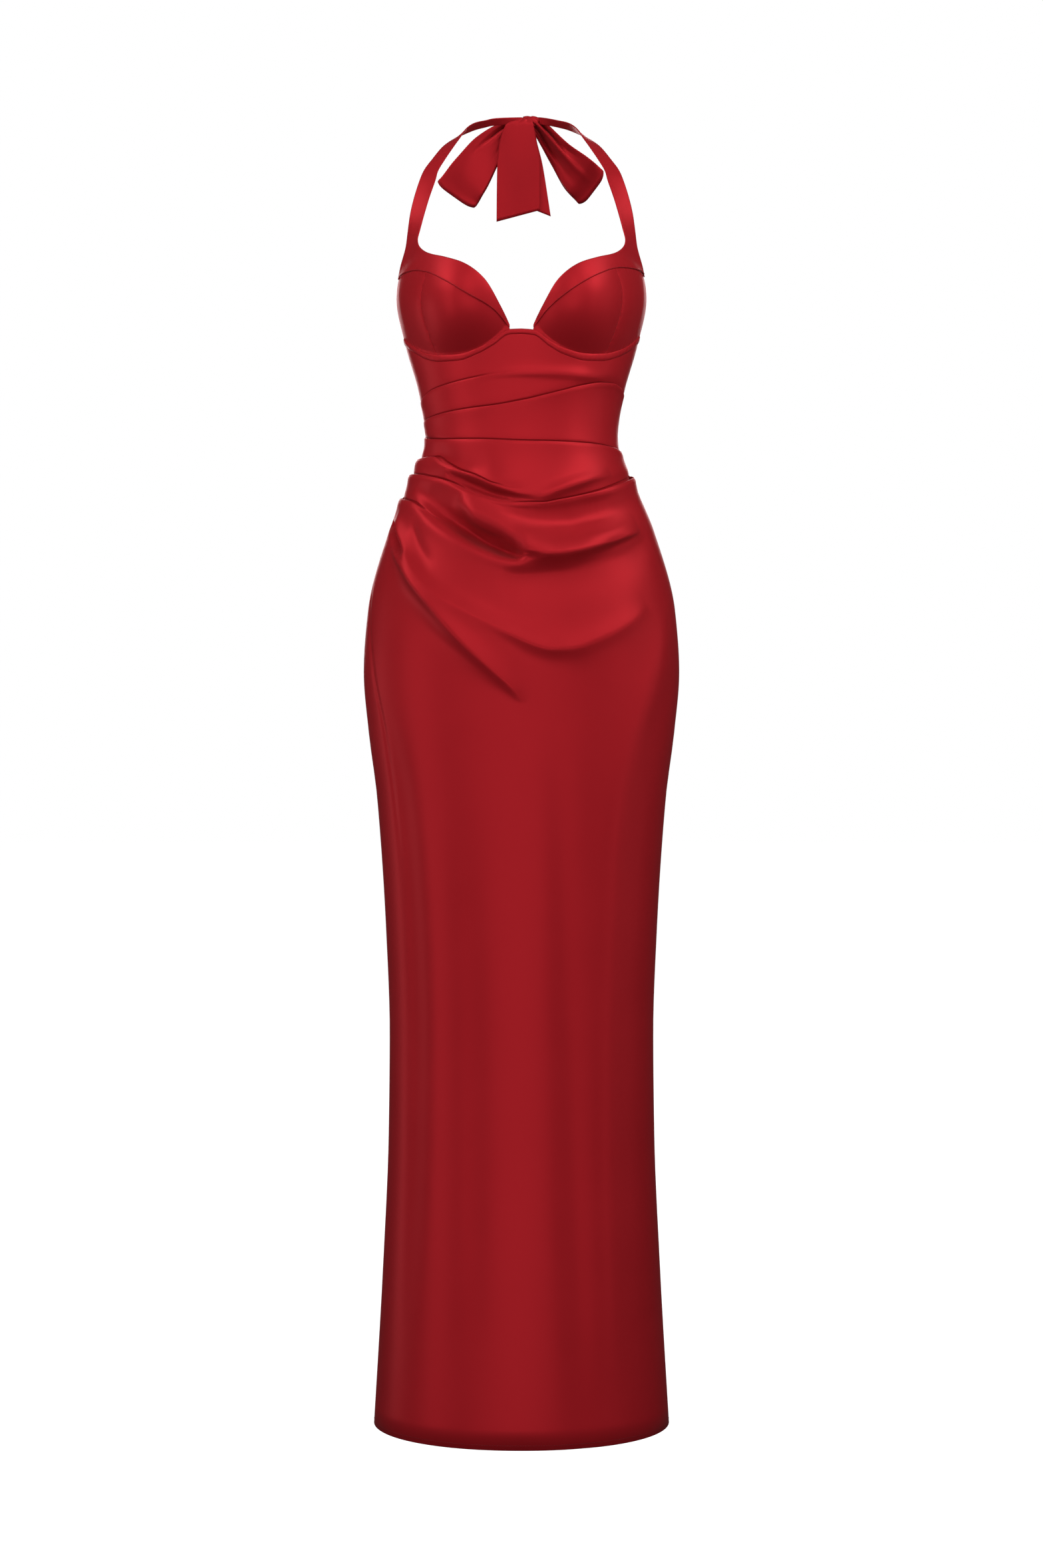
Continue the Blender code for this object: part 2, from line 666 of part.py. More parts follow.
SIDES = {"right": -1, "left": 1}
STRAP_END_X = {
    "right": KNOT_CENTRE.x - KNOT_HALF.x - KNOT_CLEAR,
    "left": KNOT_CENTRE.x + KNOT_HALF.x + KNOT_CLEAR,
}
for side_name, side_sign in SIDES.items():
    make_cup("cup_centre_" + side_name, side_sign, half_columns()[:CENTRE_COLUMNS + 1])
    make_cup("cup_side_" + side_name, side_sign, half_columns()[CENTRE_COLUMNS:])
    make_halter("halter_band_" + side_name, side_sign, STRAP_END_X[side_name])
    make_back("back_panel_" + side_name, side_sign)
    make_loop("bow_loop_" + side_name, LOOPS[side_name])
make_casing()
make_front()
make_knot()
for end_name, end_table in ENDS.items():
    make_end(end_name, end_table)
make_zip()
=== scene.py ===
# %% [markdown]
# # A halter maxi dress in red satin
#
# The dress stands in its worn shape with nobody in it.  Each piece below is one that a maker
# cuts and sews: a draped front, two backs, four cup pieces, a casing, two neck bands and a bow.
# All of them are thin shells on one body surface, so they meet at their seams.
#
# Units are metres, +Z is up, the front faces -Y, and the wearer's left is at +X.

# %% Load the frame
import math

import bmesh
import bpy
import numpy as np
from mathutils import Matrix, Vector


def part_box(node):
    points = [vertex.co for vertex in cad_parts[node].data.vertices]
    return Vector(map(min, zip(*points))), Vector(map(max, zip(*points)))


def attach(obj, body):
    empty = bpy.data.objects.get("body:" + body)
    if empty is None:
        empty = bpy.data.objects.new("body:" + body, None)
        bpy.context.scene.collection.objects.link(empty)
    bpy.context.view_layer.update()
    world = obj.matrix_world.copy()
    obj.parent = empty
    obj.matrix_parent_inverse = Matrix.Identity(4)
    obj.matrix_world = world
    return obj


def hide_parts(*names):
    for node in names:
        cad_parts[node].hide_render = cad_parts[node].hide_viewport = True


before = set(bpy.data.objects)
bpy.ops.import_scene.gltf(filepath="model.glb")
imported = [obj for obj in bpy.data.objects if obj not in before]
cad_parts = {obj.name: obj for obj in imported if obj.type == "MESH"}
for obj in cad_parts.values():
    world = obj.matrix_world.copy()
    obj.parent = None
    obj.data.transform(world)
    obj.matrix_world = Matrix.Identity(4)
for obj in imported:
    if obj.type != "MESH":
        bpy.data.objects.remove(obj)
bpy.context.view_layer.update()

BODY = "dress"

# %% [markdown]
# ## Tables and smooth curves
#
# A garment's shape is given by a few measured places.  A table with named columns holds them,
# and a curve goes through them.  A monotone cubic is used because it never swings past the
# given values, which a plain spline does between uneven rows.


# %% Tables
def named(columns, rows):
    """Rows of a table as one array per column name."""
    values = np.array(rows, float)
    return {name: values[:, k] for k, name in enumerate(columns)}


def in_mm(columns, rows):
    """The same for rows of lengths in millimetres, beside an angle in degrees if there is one."""
    return {name: values if name == "angle" else values / 1000
            for name, values in named(columns, rows).items()}


def cubic(start, end, lead, lag, t):
    """Between two values, setting out as steeply as `lead` and arriving as steeply as `lag`."""
    rise = (3 - 2 * t) * t * t
    return start + rise * (end - start) + lead * t * (1 - t) ** 2 - lag * t * t * (1 - t)


def curve(table, key, value, x):
    """Value of a table's column at x, on a curve that never overshoots its rows."""
    order = np.argsort(table[key])
    xs, ys = table[key][order], table[value][order]
    steps = np.diff(xs)
    slopes = np.diff(ys) / steps
    before, after = slopes[:-1], slopes[1:]
    turning = before * after <= 0
    middle = np.where(turning, 0.0, 2 * before * after / np.where(turning, 1.0, before + after))
    tangents = np.concatenate((slopes[:1], middle, slopes[-1:]))
    x = np.clip(x, xs[0], xs[-1])
    i = np.clip(np.searchsorted(xs, x, side="right") - 1, 0, len(steps) - 1)
    t = (x - xs[i]) / steps[i]
    return cubic(ys[i], ys[i + 1], tangents[i] * steps[i], tangents[i + 1] * steps[i], t)


def mix(a, b, t):
    return a + (b - a) * t


def ease(t):
    """0 to 1 with a soft start and end."""
    t = np.clip(t, 0.0, 1.0)
    return t * t * (3 - 2 * t)


# %% [markdown]
# ## The body surface
#
# Every panel lies on one surface, named by an angle and a height: 0 degrees is the front
# centre, -90 the right side seam, +90 the left one and 180 the back centre.  Level sections
# give its width and depths, and a low dome swells each cup.

# %% Body sections
AXIS_Y = -0.060
SQUARENESS = 2.1
HEM_Z = -1.541
SEAM_GAP = 0.0005
SECTIONS = in_mm(("height", "half_width", "front_depth", "back_depth"), (
    (-120, 123, 70, 85),
    (-170, 137, 78, 90),
    (-228, 146.5, 88, 90),   # bust
    (-281, 136, 92, 84),
    (-344, 118.8, 88, 77),   # ribs
    (-392, 112.8, 86, 76),   # waist
    (-437, 129, 90, 86),
    (-500, 155.5, 98, 105),
    (-593, 180, 105, 122),
    (-664, 184.8, 107, 126),   # hip
    (-734, 179, 107, 121),
    (-812, 169, 106, 110),
    (-968, 158.5, 104, 101),
    (-1085, 154.4, 103, 100),   # knee
    (-1202, 155.6, 105, 102),
    (-1358, 162.2, 114, 110),
    (-1560, 173.8, 130, 125),   # just past the hem
))
CUP_X = 0.078
CUP_Z = -0.232
CUP_HALF_WIDTH = 0.074
CUP_RISE = 0.105
CUP_DROP = 0.072
CUP_FULLNESS = 0.036
SEAM_ANGLE_LOW = 90.0
SEAM_ANGLE_TOP = 80.0
SEAM_RIBS_Z = -0.345
SEAM_UNDERARM_Z = -0.195
CUP_SEAM_ANGLE = 47.0
BRIDGE_ANGLE = 5.0


def section(value, z):
    return curve(SECTIONS, "height", value, z)


def cup_swell(x, z):
    """How far the cups stand out from the body surface."""
    reach = np.where(z > CUP_Z, CUP_RISE, CUP_DROP)
    radius = ((np.abs(x) - CUP_X) / CUP_HALF_WIDTH) ** 2 + ((z - CUP_Z) / reach) ** 2
    return CUP_FULLNESS * np.clip(1 - radius, 0, None) ** 1.1


def body(angle, z, out=0.0):
    """Points of the body surface, moved outward by `out`."""
    angle, z = np.broadcast_arrays(np.asarray(angle, float), np.asarray(z, float))
    half_width = section("half_width", z)
    front = np.abs(angle) < 90
    depth = np.where(front, section("front_depth", z), section("back_depth", z))
    s, c = np.sin(np.radians(angle)), np.cos(np.radians(angle))
    power = 2 / SQUARENESS
    x = half_width * np.sign(s) * np.abs(s) ** power
    y = AXIS_Y - depth * np.sign(c) * np.abs(c) ** power
    away = np.hypot(s / half_width, c / depth)
    place = np.stack((x + out * s / half_width / away, y - out * c / depth / away, z), -1)
    place[..., 1] -= np.where(front, cup_swell(x, z) * np.minimum(1.0, 4 * np.abs(c)), 0.0)
    return place


def angle_at(x, z):
    """Angle of the front surface at a sideways place."""
    share = np.clip(np.abs(x) / section("half_width", z), 0, 1) ** (SQUARENESS / 2)
    return np.copysign(np.degrees(np.arcsin(share)), x)


def seam_angle(z):
    """Angle of the side seam: above the ribs it comes forward of the true side."""
    up = ease((z - SEAM_RIBS_Z) / (SEAM_UNDERARM_Z - SEAM_RIBS_Z))
    return mix(SEAM_ANGLE_LOW, SEAM_ANGLE_TOP, up)


def seam_share(z):
    """Half a seam's gap as an angle."""
    return np.degrees(0.5 * SEAM_GAP / section("front_depth", z))


def column_angle(share, z):
    """Angle of a front column: its share counts 1 to the cup seam and 2 to the side seam."""
    size = np.abs(share)
    outer = mix(CUP_SEAM_ANGLE, seam_angle(z) - seam_share(z), size - 1)
    return np.copysign(np.where(size <= 1, CUP_SEAM_ANGLE * size, outer), share)


def column_place(share, line):
    """Angle and height where front columns meet a line given as a height by angle."""
    z = line(share * CUP_SEAM_ANGLE)
    for _ in range(4):
        z = line(column_angle(share, z))
    return column_angle(share, z), z


hip = body(np.linspace(-180, 180, 721), -0.664)
print("hip girth", round(float(np.linalg.norm(np.diff(hip, axis=0), axis=1).sum()), 3), "m")

# %% [markdown]
# ## Satin, thread and enamel
#
# Satin shines because its long warp floats lie side by side like combed hair.  The shader
# keeps most of the colour in a broad, red-tinted gloss over a soft body colour, and a sheen
# layer gives the pale bloom at grazing angles.  The floats themselves are a fine stretched
# noise in the cloth's own coordinates, so the grain follows each cut piece.

# %% Materials
SATIN_RED = (0.365, 0.0118, 0.0172)
SATIN_DEEP = (0.320, 0.0096, 0.0142)
SATIN_GLOSS = (1.0, 0.16, 0.18)
FLOAT_WIDTH = 0.0004
FLOAT_LENGTH = 0.0050


def set_inputs(node, values):
    """Set a node's inputs, each named with _ for its spaces, or else its properties."""
    for name, value in values.items():
        if name.replace("_", " ") in node.inputs:
            node.inputs[name.replace("_", " ")].default_value = value
        else:
            setattr(node, name, value)


def add_node(tree, kind, **values):
    made = tree.nodes.new(kind)
    set_inputs(made, values)
    return made


def start_material(name, **sockets):
    """A material with its shader's own sockets set."""
    material = bpy.data.materials.new(name)
    material.use_nodes = True
    shader = material.node_tree.nodes["Principled BSDF"]
    set_inputs(shader, sockets)
    return material, material.node_tree, shader


def join(tree, *links):
    """Join nodes, each link given as node, output, node, input."""
    for giver, output, taker, entry in links:
        tree.links.new(giver.outputs[output], taker.inputs[entry])


def finish_surface(tree, shader, drift, grain, roughness, spread, strength, distance):
    """Let the gloss wander with one noise, and raise the surface with another."""
    shine = add_node(tree, "ShaderNodeMapRange", To_Min=roughness - spread,
                     To_Max=roughness + spread)
    bump = add_node(tree, "ShaderNodeBump", Strength=strength, Distance=distance)
    join(tree, (drift, "Fac", shine, "Value"), (shine, "Result", shader, "Roughness"),
         (grain, "Fac", bump, "Height"), (bump, "Normal", shader, "Normal"))


def make_satin(name, colour, deep, roughness, metallic):
    """Warp-faced satin: a stretched fine grain, slow colour drift and a little unevenness."""
    material, tree, shader = start_material(
        name, Metallic=metallic, Specular_IOR_Level=0.16, Sheen_Weight=0.04,
        Sheen_Roughness=0.45, Sheen_Tint=(1.0, 0.62, 0.62, 1.0),
        Specular_Tint=(*SATIN_GLOSS, 1.0))
    cloth_place = add_node(tree, "ShaderNodeUVMap", uv_map="cloth")
    grain_place = add_node(tree, "ShaderNodeMapping",
                           Scale=(1 / FLOAT_WIDTH, 1 / FLOAT_LENGTH, 1.0))
    grain = add_node(tree, "ShaderNodeTexNoise", Scale=1.0, Detail=2.0, Roughness=0.6)
    drift = add_node(tree, "ShaderNodeTexNoise", Scale=9.0, Detail=3.0, Roughness=0.5)
    colours = add_node(tree, "ShaderNodeMix", data_type="RGBA")
    for socket in colours.inputs:
        if socket.type == "RGBA":
            socket.default_value = (*(deep if socket.name == "A" else colour), 1.0)
    join(tree,
         (cloth_place, "UV", grain_place, "Vector"), (grain_place, "Vector", grain, "Vector"),
         (cloth_place, "UV", drift, "Vector"), (drift, "Fac", colours, "Factor"),
         (colours, "Result", shader, "Base Color"))
    finish_surface(tree, shader, drift, grain, roughness, 0.04, 0.12, 0.00006)
    return material


SATIN = make_satin("satin_face", SATIN_RED, SATIN_DEEP, 0.41, 0.24)
SATIN_BACK = make_satin("satin_reverse", (0.30, 0.010, 0.015), (0.26, 0.008, 0.012), 0.62, 0.05)

# %% [markdown]
# ## From a grid of points to a piece of cloth
#
# A piece is a grid of points on its outer face.  Its edges are turned in, as a maker presses
# a seam allowance under, so a seam shows as a soft groove.  A Solidify modifier then gives
# the cloth its thickness, with the dull reverse of the satin on the inside.

# %% Cloth pieces
CLOTH_WALL = 0.0005
OUTWARD_SHARE = 1.5       # keeps an under layer turning inwards too
EDGE_PROFILE = ((0.00024, 0.0028), (0.0004, 0.00048), (0.00028, 0.00012))     # onward, inward
TUCK_PROFILE = ((0.0030, 0.0006), (0.0015, 0.0006), (0.00045, 0.00018))


def unit(vectors):
    return vectors / np.maximum(np.linalg.norm(vectors, axis=-1, keepdims=True), 1e-9)


def normals_of(grid):
    """Outward direction of a grid whose rows run down and whose columns run to +X in front."""
    return unit(np.cross(np.gradient(grid, axis=0), np.gradient(grid, axis=1)))


def turned(grid, sides):
    """The grid with some of its edges rolled over and turned in."""
    for side in sides:
        upright, last = side in ("left", "right"), side in ("bottom", "right")
        if upright:
            grid = grid.swapaxes(0, 1)
        if last:
            grid = grid[::-1]
        normal = normals_of(grid)[1] * (-1 if upright != last else 1)
        edge = grid[0]
        outward = unit((edge - (0, AXIS_Y, 0)) * (1, 1, 0))
        normal = unit(normal + OUTWARD_SHARE * outward)
        onward = unit(edge - grid[1])
        rows = [edge + onward * on - normal * down for on, down in EDGE_PROFILE]
        grid = np.concatenate((np.array(rows), grid))
        if last:
            grid = grid[::-1]
        if upright:
            grid = grid.swapaxes(0, 1)
    return grid


def tucked(grid, side):
    """The grid with its top or bottom edge running on under the piece that is sewn over it."""
    if side == "bottom":
        grid = grid[::-1]
    normal = normals_of(grid)[1] * (-1 if side == "bottom" else 1)
    onward = unit(grid[0] - grid[1])
    rows = [grid[0] + onward * on - normal * down for on, down in TUCK_PROFILE]
    grid = np.concatenate((np.array(rows), grid))
    return grid[::-1] if side == "bottom" else grid


def ruled(first, last, count):
    """Grid of straight rows from one edge to another, in `count` steps."""
    return mix(first[:, None], last[:, None], np.linspace(0, 1, count + 1)[:, None])


def lengths(grid, axis):
    """Distance walked along an axis of the grid, starting at zero."""
    steps = np.linalg.norm(np.diff(grid, axis=axis), axis=-1)
    start = np.zeros_like(np.take(steps, [0], axis=axis))
    return np.concatenate((start, np.cumsum(steps, axis=axis)), axis=axis)


def add_object(name, data):
    """An object that shows in the scene."""
    made = bpy.data.objects.new(name, data)
    bpy.context.scene.collection.objects.link(made)
    return made


def add_piece(name, points, faces, material):
    """A mesh object that rides on the dress."""
    mesh = bpy.data.meshes.new(name)
    mesh.from_pydata(points.reshape(-1, 3).tolist(), [], faces)
    mesh.materials.append(material)
    mesh.shade_smooth()
    piece = add_object(name, mesh)
    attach(piece, BODY)
    return piece


def numbered(grid):
    """The number of each point of a grid."""
    return np.arange(grid[..., 0].size).reshape(grid.shape[:-1])


def grid_faces(index, closed=False, flip=False):
    """Four-sided faces between the points of a grid, round and round if it is closed."""
    onward = np.roll(index, -1, axis=1)
    faces = np.stack((index[:-1], index[1:], onward[1:], onward[:-1]), -1)
    faces = (faces if closed else faces[:, :-1]).reshape(-1, 4)
    return (faces[:, ::-1] if flip else faces).tolist()


def lay_out(piece, *place):
    """Cloth coordinates in metres: how far along and across each point of the mesh lies."""
    place = np.stack(place, -1).reshape(-1, 2)
    corners = np.empty(len(piece.data.loops), dtype=np.int32)
    piece.data.loops.foreach_get("vertex_index", corners)
    layer = piece.data.uv_layers.new(name="cloth")
    layer.data.foreach_set("uv", place[corners].astype(np.float32).ravel())


def cloth(name, grid):
    """Thin shell from a grid of points on its outer face; stands for the CAD node `name`."""
    faces = grid_faces(numbered(grid))
    piece = add_piece(name + "_cloth", grid, faces, SATIN)
    piece.data.materials.append(SATIN_BACK)
    lay_out(piece, lengths(grid, 1), lengths(grid, 0))
    shell = piece.modifiers.new("Thickness", "SOLIDIFY")
    shell.thickness = CLOTH_WALL
    shell.offset = -1
    shell.material_offset = 1
    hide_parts(name)
    print(name, *grid.shape[:2], "points in its grid,", 4 * len(faces), "triangles")


# %% [markdown]
# ## Laps and soft folds of the front
#
# The front is cut long and gathered into the right side seam.  Where it is gathered hardest
# it laps over itself: six lines run across the waist, and below each the cloth lies on top.
# A lap is built as a real S in the cloth, with the upper layer running on under the fold.
# The rest are soft folds, each a crest or a hollow along a path of a few rows.

# %% Lap lines
LAP_COLUMNS = ("angle", "height", "lip", "fade", "dip", "reach")
LAPS = [in_mm(LAP_COLUMNS, rows) for rows in (     # degrees and millimetres
    (   # under the casing, right half only
        (-90, -352, 1.8, 12, 0.6, 4), (-69, -345, 2, 12, 0.6, 4), (-59, -341, 2, 12, 0.6, 4),
        (-43, -337, 1.8, 12, 0.5, 4), (-25, -332, 1.2, 12, 0.3, 4), (-13, -328.5, 0.4, 10, 0, 4),
        (2, -326.5, 0, 10, 0, 4), (44, -328, 0, 10, 0, 4), (70, -329, 0, 10, 0, 4),
        (90, -331, 0, 10, 0, 4),
    ),
    (   # ribs
        (-90, -374, 1.8, 12, 0.5, 3), (-50, -369, 2, 12, 0.5, 3), (-34, -367, 2, 11, 0.5, 3),
        (-14, -364, 2.2, 9, 0.6, 3), (2, -358, 2.4, 9, 0.6, 3), (13, -352, 2.6, 9, 0.7, 4),
        (22, -347, 2.8, 9, 1, 5), (34, -340, 3.2, 10, 1.4, 6), (49, -334.5, 3.6, 9, 2, 6),
        (60, -333.5, 3.6, 7, 2, 6), (70, -336, 3.4, 6, 1.6, 6), (80, -341, 3, 6, 1, 5),
        (90, -347, 2.6, 6, 1, 5),
    ),
    (   # waist
        (-90, -389, 2.2, 10, 0.8, 3), (-66, -396, 2.2, 10, 1.2, 3), (-51, -399, 2, 12, 0.6, 3),
        (-24, -402, 1.8, 12, 0.4, 3), (8, -405, 2, 12, 0.4, 3), (44, -405, 2.4, 10, 0.6, 3),
        (66, -406, 3, 8, 1, 4), (90, -409, 3.2, 8, 1, 4),
    ),
    (   # pinch
        (-90, -416, 5, 12, 1, 4), (-75, -417, 4.6, 12, 3.6, 8), (-56, -418, 4.4, 12, 6, 12),
        (-45, -426, 4.8, 12, 7.2, 15), (-32, -437, 5, 10, 7.4, 19), (-23, -443, 3.6, 9, 5.6, 20),
        (-12, -454, 1.4, 8, 2.4, 16), (0, -459, 0, 8, 0, 10), (15, -454, 0, 8, 0, 6),
        (50, -431, 0, 8, 0, 6), (90, -423, 0, 8, 0, 6),
    ),
    (   # sweep across the whole front
        (-90, -433.5, 5, 14, 1.2, 5), (-70, -436, 4.8, 14, 1.2, 5), (-49, -443, 4.4, 14, 1.6, 6),
        (-37, -449.5, 3.8, 14, 1.8, 6), (-19, -465, 3, 12, 1, 6), (0, -475.5, 2.8, 10, 0.4, 5),
        (8, -475.5, 2.8, 10, 0.6, 5), (16, -472, 3.2, 10, 1.8, 8), (25, -467.5, 3.6, 10, 3.4, 10),
        (37, -461, 4, 10, 4.2, 12), (50, -453, 4.6, 12, 4, 10), (65, -444.5, 5, 12, 3, 8),
        (78, -438.5, 5.2, 12, 2, 6), (90, -434, 5, 12, 1.6, 6),
    ),
    (   # right hip
        (-90, -460, 4.4, 14, 1, 5), (-75, -464, 4.4, 14, 1, 5), (-60, -470, 3.6, 14, 1.6, 6),
        (-50, -479, 2.2, 12, 0.8, 6), (-42, -488, 0.6, 10, 0, 6), (-37, -494, 0, 10, 0, 6),
        (-22, -515, 0, 10, 0, 8), (-8, -534, 0, 12, 0, 8), (6, -540, 0, 12, 0, 8),
        (36, -528, 0, 12, 0, 8), (60, -506, 0, 12, 0, 8), (90, -490, 0, 12, 0, 8),
    ),
)]
LAP_ROLL = 0.0030         # height over which a lap's edge rounds over
LAP_ROLL_SHARE = 0.30
FULL_CREVICE_LIP = 0.002
LAP_OPEN = 0.0014         # lip at which a lap is a full S
LAP_CREVICE = 0.0014      # how far the upper cloth turns in just above a lap's edge
CREVICE_REACH = 0.0011
SEAM_HOLD = 0.30          # share of a lap's lip that is left at the side seam
SEAM_HOLD_ANGLE = 88.5
SEAM_HOLD_REACH = 8.0

# %% [markdown]
# A soft fold is walked along its rows.  `amount` is how far the cloth stands out there, less
# than zero for a hollow.  `left` and `right` are its reach to either side of the walker, so a
# fold can be steep on one side and gentle on the other.

# %% Soft folds
FOLD_COLUMNS = ("angle", "height", "amount", "left", "right")
FOLDS = [in_mm(FOLD_COLUMNS, rows) for rows in (
    (   # rib ridge, left half
        (-28, -333, 0, 7, 5), (-13, -329, 1.2, 7, 5), (10, -328.5, 2.4, 8, 5),
        (30, -329, 2.2, 8, 5), (45, -330, 1, 7, 5), (55, -331, 0, 7, 5),
    ),
    (   # pinch ridge running on into the middle
        (-30, -439, 0, 6, 4), (-22, -445, 2.2, 8, 4), (-12, -456, 3.4, 10, 4),
        (-2, -464, 2.6, 10, 4), (8, -467, 1, 10, 4), (16, -466, 0, 10, 4),
    ),
    (   # hollow under it
        (-40, -438, 0, 4, 5), (-30, -448, -6, 5, 6), (-20, -458, -9, 5, 6), (-10, -467, -8, 5, 5),
        (0, -471.5, -1.8, 4, 4), (7, -472.5, 0, 4, 4),
    ),
    (   # small ridge over the left wedge
        (8, -470, 0, 8, 4), (17, -461, 4, 9, 5), (28, -452, 4.4, 10, 5), (40, -444, 2.6, 9, 5),
        (52, -439, 0, 8, 4),
    ),
    (   # great lobe across the belly
        (-29, -470, 0, 8, 6), (-24, -480.5, 7, 10, 6), (-17, -496.5, 12.4, 14, 6.5),
        (-9, -508.5, 13.6, 16, 7), (-3, -518.5, 13.4, 17, 8.5), (4, -529, 13.4, 18, 11),
        (12, -533.5, 13.4, 17, 10.5), (20, -530.5, 12.8, 15, 9), (30, -523, 11, 12, 7),
        (39, -515.8, 8.6, 10, 5.5), (50, -508.5, 5.2, 8, 4.5), (60, -502, 0, 8, 4),
    ),
    (   # hollow beside it, where the cloth dives under the right hip lap
        (-62, -454, 0, 8, 6), (-52, -466, -6, 12, 7), (-40, -483, -14, 13, 8),
        (-28, -499.5, -22, 12.5, 8), (-17, -516, -30, 12.5, 8), (-9, -526, -31, 12, 8),
        (-3, -533, -22, 10, 7), (1, -538, 0, 6, 5),
    ),
    (   # and above the lobe's round end
        (-50, -456, 0, 6, 7), (-40, -462, -3, 8, 9), (-33, -470, -3.6, 9, 9), (-28, -476, 0, 8, 8),
    ),
    (   # rim under that hollow
        (-50, -484, 0, 5, 10), (-40, -496, 2, 6, 12), (-26, -515, 3.4, 6, 13),
        (-12, -533, 4.6, 6, 12), (-4, -541.5, 5.2, 6, 11), (3, -544, 3.2, 5, 11),
        (8, -540.5, 1.8, 6, 9), (11, -534, 0, 6, 8),
    ),
    (   # trough under the lobe
        (-8, -562, 0, 9, 20), (2, -560, -3.6, 10, 30), (14, -557, -5, 10, 34),
        (24, -551, -5.2, 10, 34), (36, -541, -5, 10, 30), (50, -529, -4.2, 9, 22),
        (61, -517, -2.2, 8, 13), (68, -509, 0, 7, 10),
    ),
    (   # trough between the left lap and the lobe
        (-18, -474, 0, 8, 6), (-11, -482, -2.2, 9, 7), (-4, -489, -4.6, 11, 9),
        (4, -494.5, -7.5, 16, 10), (12, -497, -10.5, 20, 10), (20, -496.5, -12.5, 20, 10),
        (30, -489.5, -12.5, 18, 10), (41, -484, -10.5, 15, 9), (55, -477.5, -6.6, 12, 8),
        (70, -470, 0, 8, 8),
    ),
    (   # slit at the right hip
        (-88, -488, 0, 3, 3), (-82, -493, -8, 3.6, 3.6), (-71, -504, -15, 4.2, 4),
        (-62, -517, -15, 4.2, 4), (-56, -527, -7, 3.6, 3.4), (-52, -534, 0, 3, 3),
    ),
    (   # hollow beside its start
        (-54, -494, 0, 5, 5), (-49, -512, -2.4, 6, 6), (-42, -533, -2, 7, 7), (-35, -550, 0, 7, 7),
    ),
    (   # soft crease down the right side of the skirt
        (-82, -550, 0, 3, 3), (-79, -584, -0.6, 3, 3), (-67, -666, -1, 3, 3),
        (-61, -740, -1, 3, 3), (-59, -829, -0.8, 3, 3), (-56, -900, 0, 3, 3),
    ),
    (   # drape from the left hip down the skirt
        (66, -590, 0, 16, 14), (60, -640, 3, 18, 16), (50, -700, 4, 20, 18),
        (42, -770, 3.6, 20, 20), (38, -900, 2.6, 18, 22), (37, -1150, 2.2, 18, 22),
        (36, -1400, 1.8, 18, 22), (36, -1500, 0, 18, 22),
    ),
    (   # soft hollow left of the centre
        (10, -700, 0, 18, 16), (15, -850, -1.6, 18, 16), (19, -1100, -2.2, 18, 18),
        (21, -1350, -2.4, 18, 18), (22, -1520, -1, 18, 18), (22, -1560, 0, 18, 18),
    ),
    (   # soft hollow down the right of the skirt
        (-58, -700, 0, 14, 14), (-52, -820, -2.2, 15, 14), (-50, -1000, -2.6, 16, 14),
        (-50, -1250, -1.8, 16, 14), (-50, -1450, 0, 16, 14),
    ),
    (   # faint hollow right of the centre
        (-22, -800, 0, 16, 16), (-20, -1000, -1, 16, 16), (-19, -1250, -1.4, 16, 16),
        (-18, -1480, 0, 16, 16),
    ),
)]
SHARP_FOLDS = [in_mm(FOLD_COLUMNS, rows) for rows in (
    (   # hip ridge, from the slit round the thigh and up to the left hip
        (-74, -480, 0, 5, 4), (-66, -496, 5.6, 6, 5), (-58, -517, 7, 7, 6), (-52, -531, 6.6, 7, 6),
        (-42, -554.5, 5, 7, 8), (-33, -575.5, 4.4, 8, 10), (-25, -590, 4.4, 9, 11),
        (-16, -605, 5, 10, 12), (-9, -616.5, 5.8, 11, 12), (-3, -626, 6.6, 12, 11),
        (4, -637.5, 7.2, 16, 12), (10, -642.5, 7.6, 18, 12), (16, -642, 7.8, 20, 13),
        (28, -630, 7.2, 20, 14), (38, -616, 6, 18, 13), (46, -603, 3.6, 14, 12),
        (52, -590, 0, 12, 10),
    ),
    (   # long diagonal fold, steep on its lower side
        (-66, -518, 0, 4, 4), (-58, -532, 6, 5, 5), (-50, -547, 10, 8, 7),
        (-42, -567, 13, 12, 9.5), (-33, -592, 13.6, 20, 10.5), (-25, -619, 12.6, 24, 10.5),
        (-16, -647, 10.8, 22, 9.5), (-9, -668, 8.6, 18, 8.5), (-3, -687, 5.4, 12, 6),
        (1, -705, 0, 8, 4),
    ),
)]
ROUND = 2.0               # powers of the two kinds of fold: a low one comes to an edge
SHARP = 1.3
FOLD_STEP = 0.0015        # spacing of the places worked out along a fold
DEGREE_LENGTH = 0.0024    # about how far one degree of the body is
SHORTEST_DEGREE = 0.0010
FOLD_MARGIN = 3.2         # reaches beyond which a fold no longer counts


def fold_places(fold):
    """A fold's rows made even and close together."""
    steps = np.hypot(np.diff(fold["angle"]) * DEGREE_LENGTH, np.diff(fold["height"]))
    walked = np.concatenate(([0.0], np.cumsum(steps)))
    table = {**fold, "walked": walked}
    at = np.linspace(0, walked[-1], int(walked[-1] / FOLD_STEP) + 2)
    return {name: curve(table, "walked", name, at) for name in FOLD_COLUMNS}


def degree_length(angle, z):
    """Length of one degree of the body surface at each place."""
    return np.linalg.norm(body(angle + 0.5, z) - body(angle - 0.5, z), axis=-1)


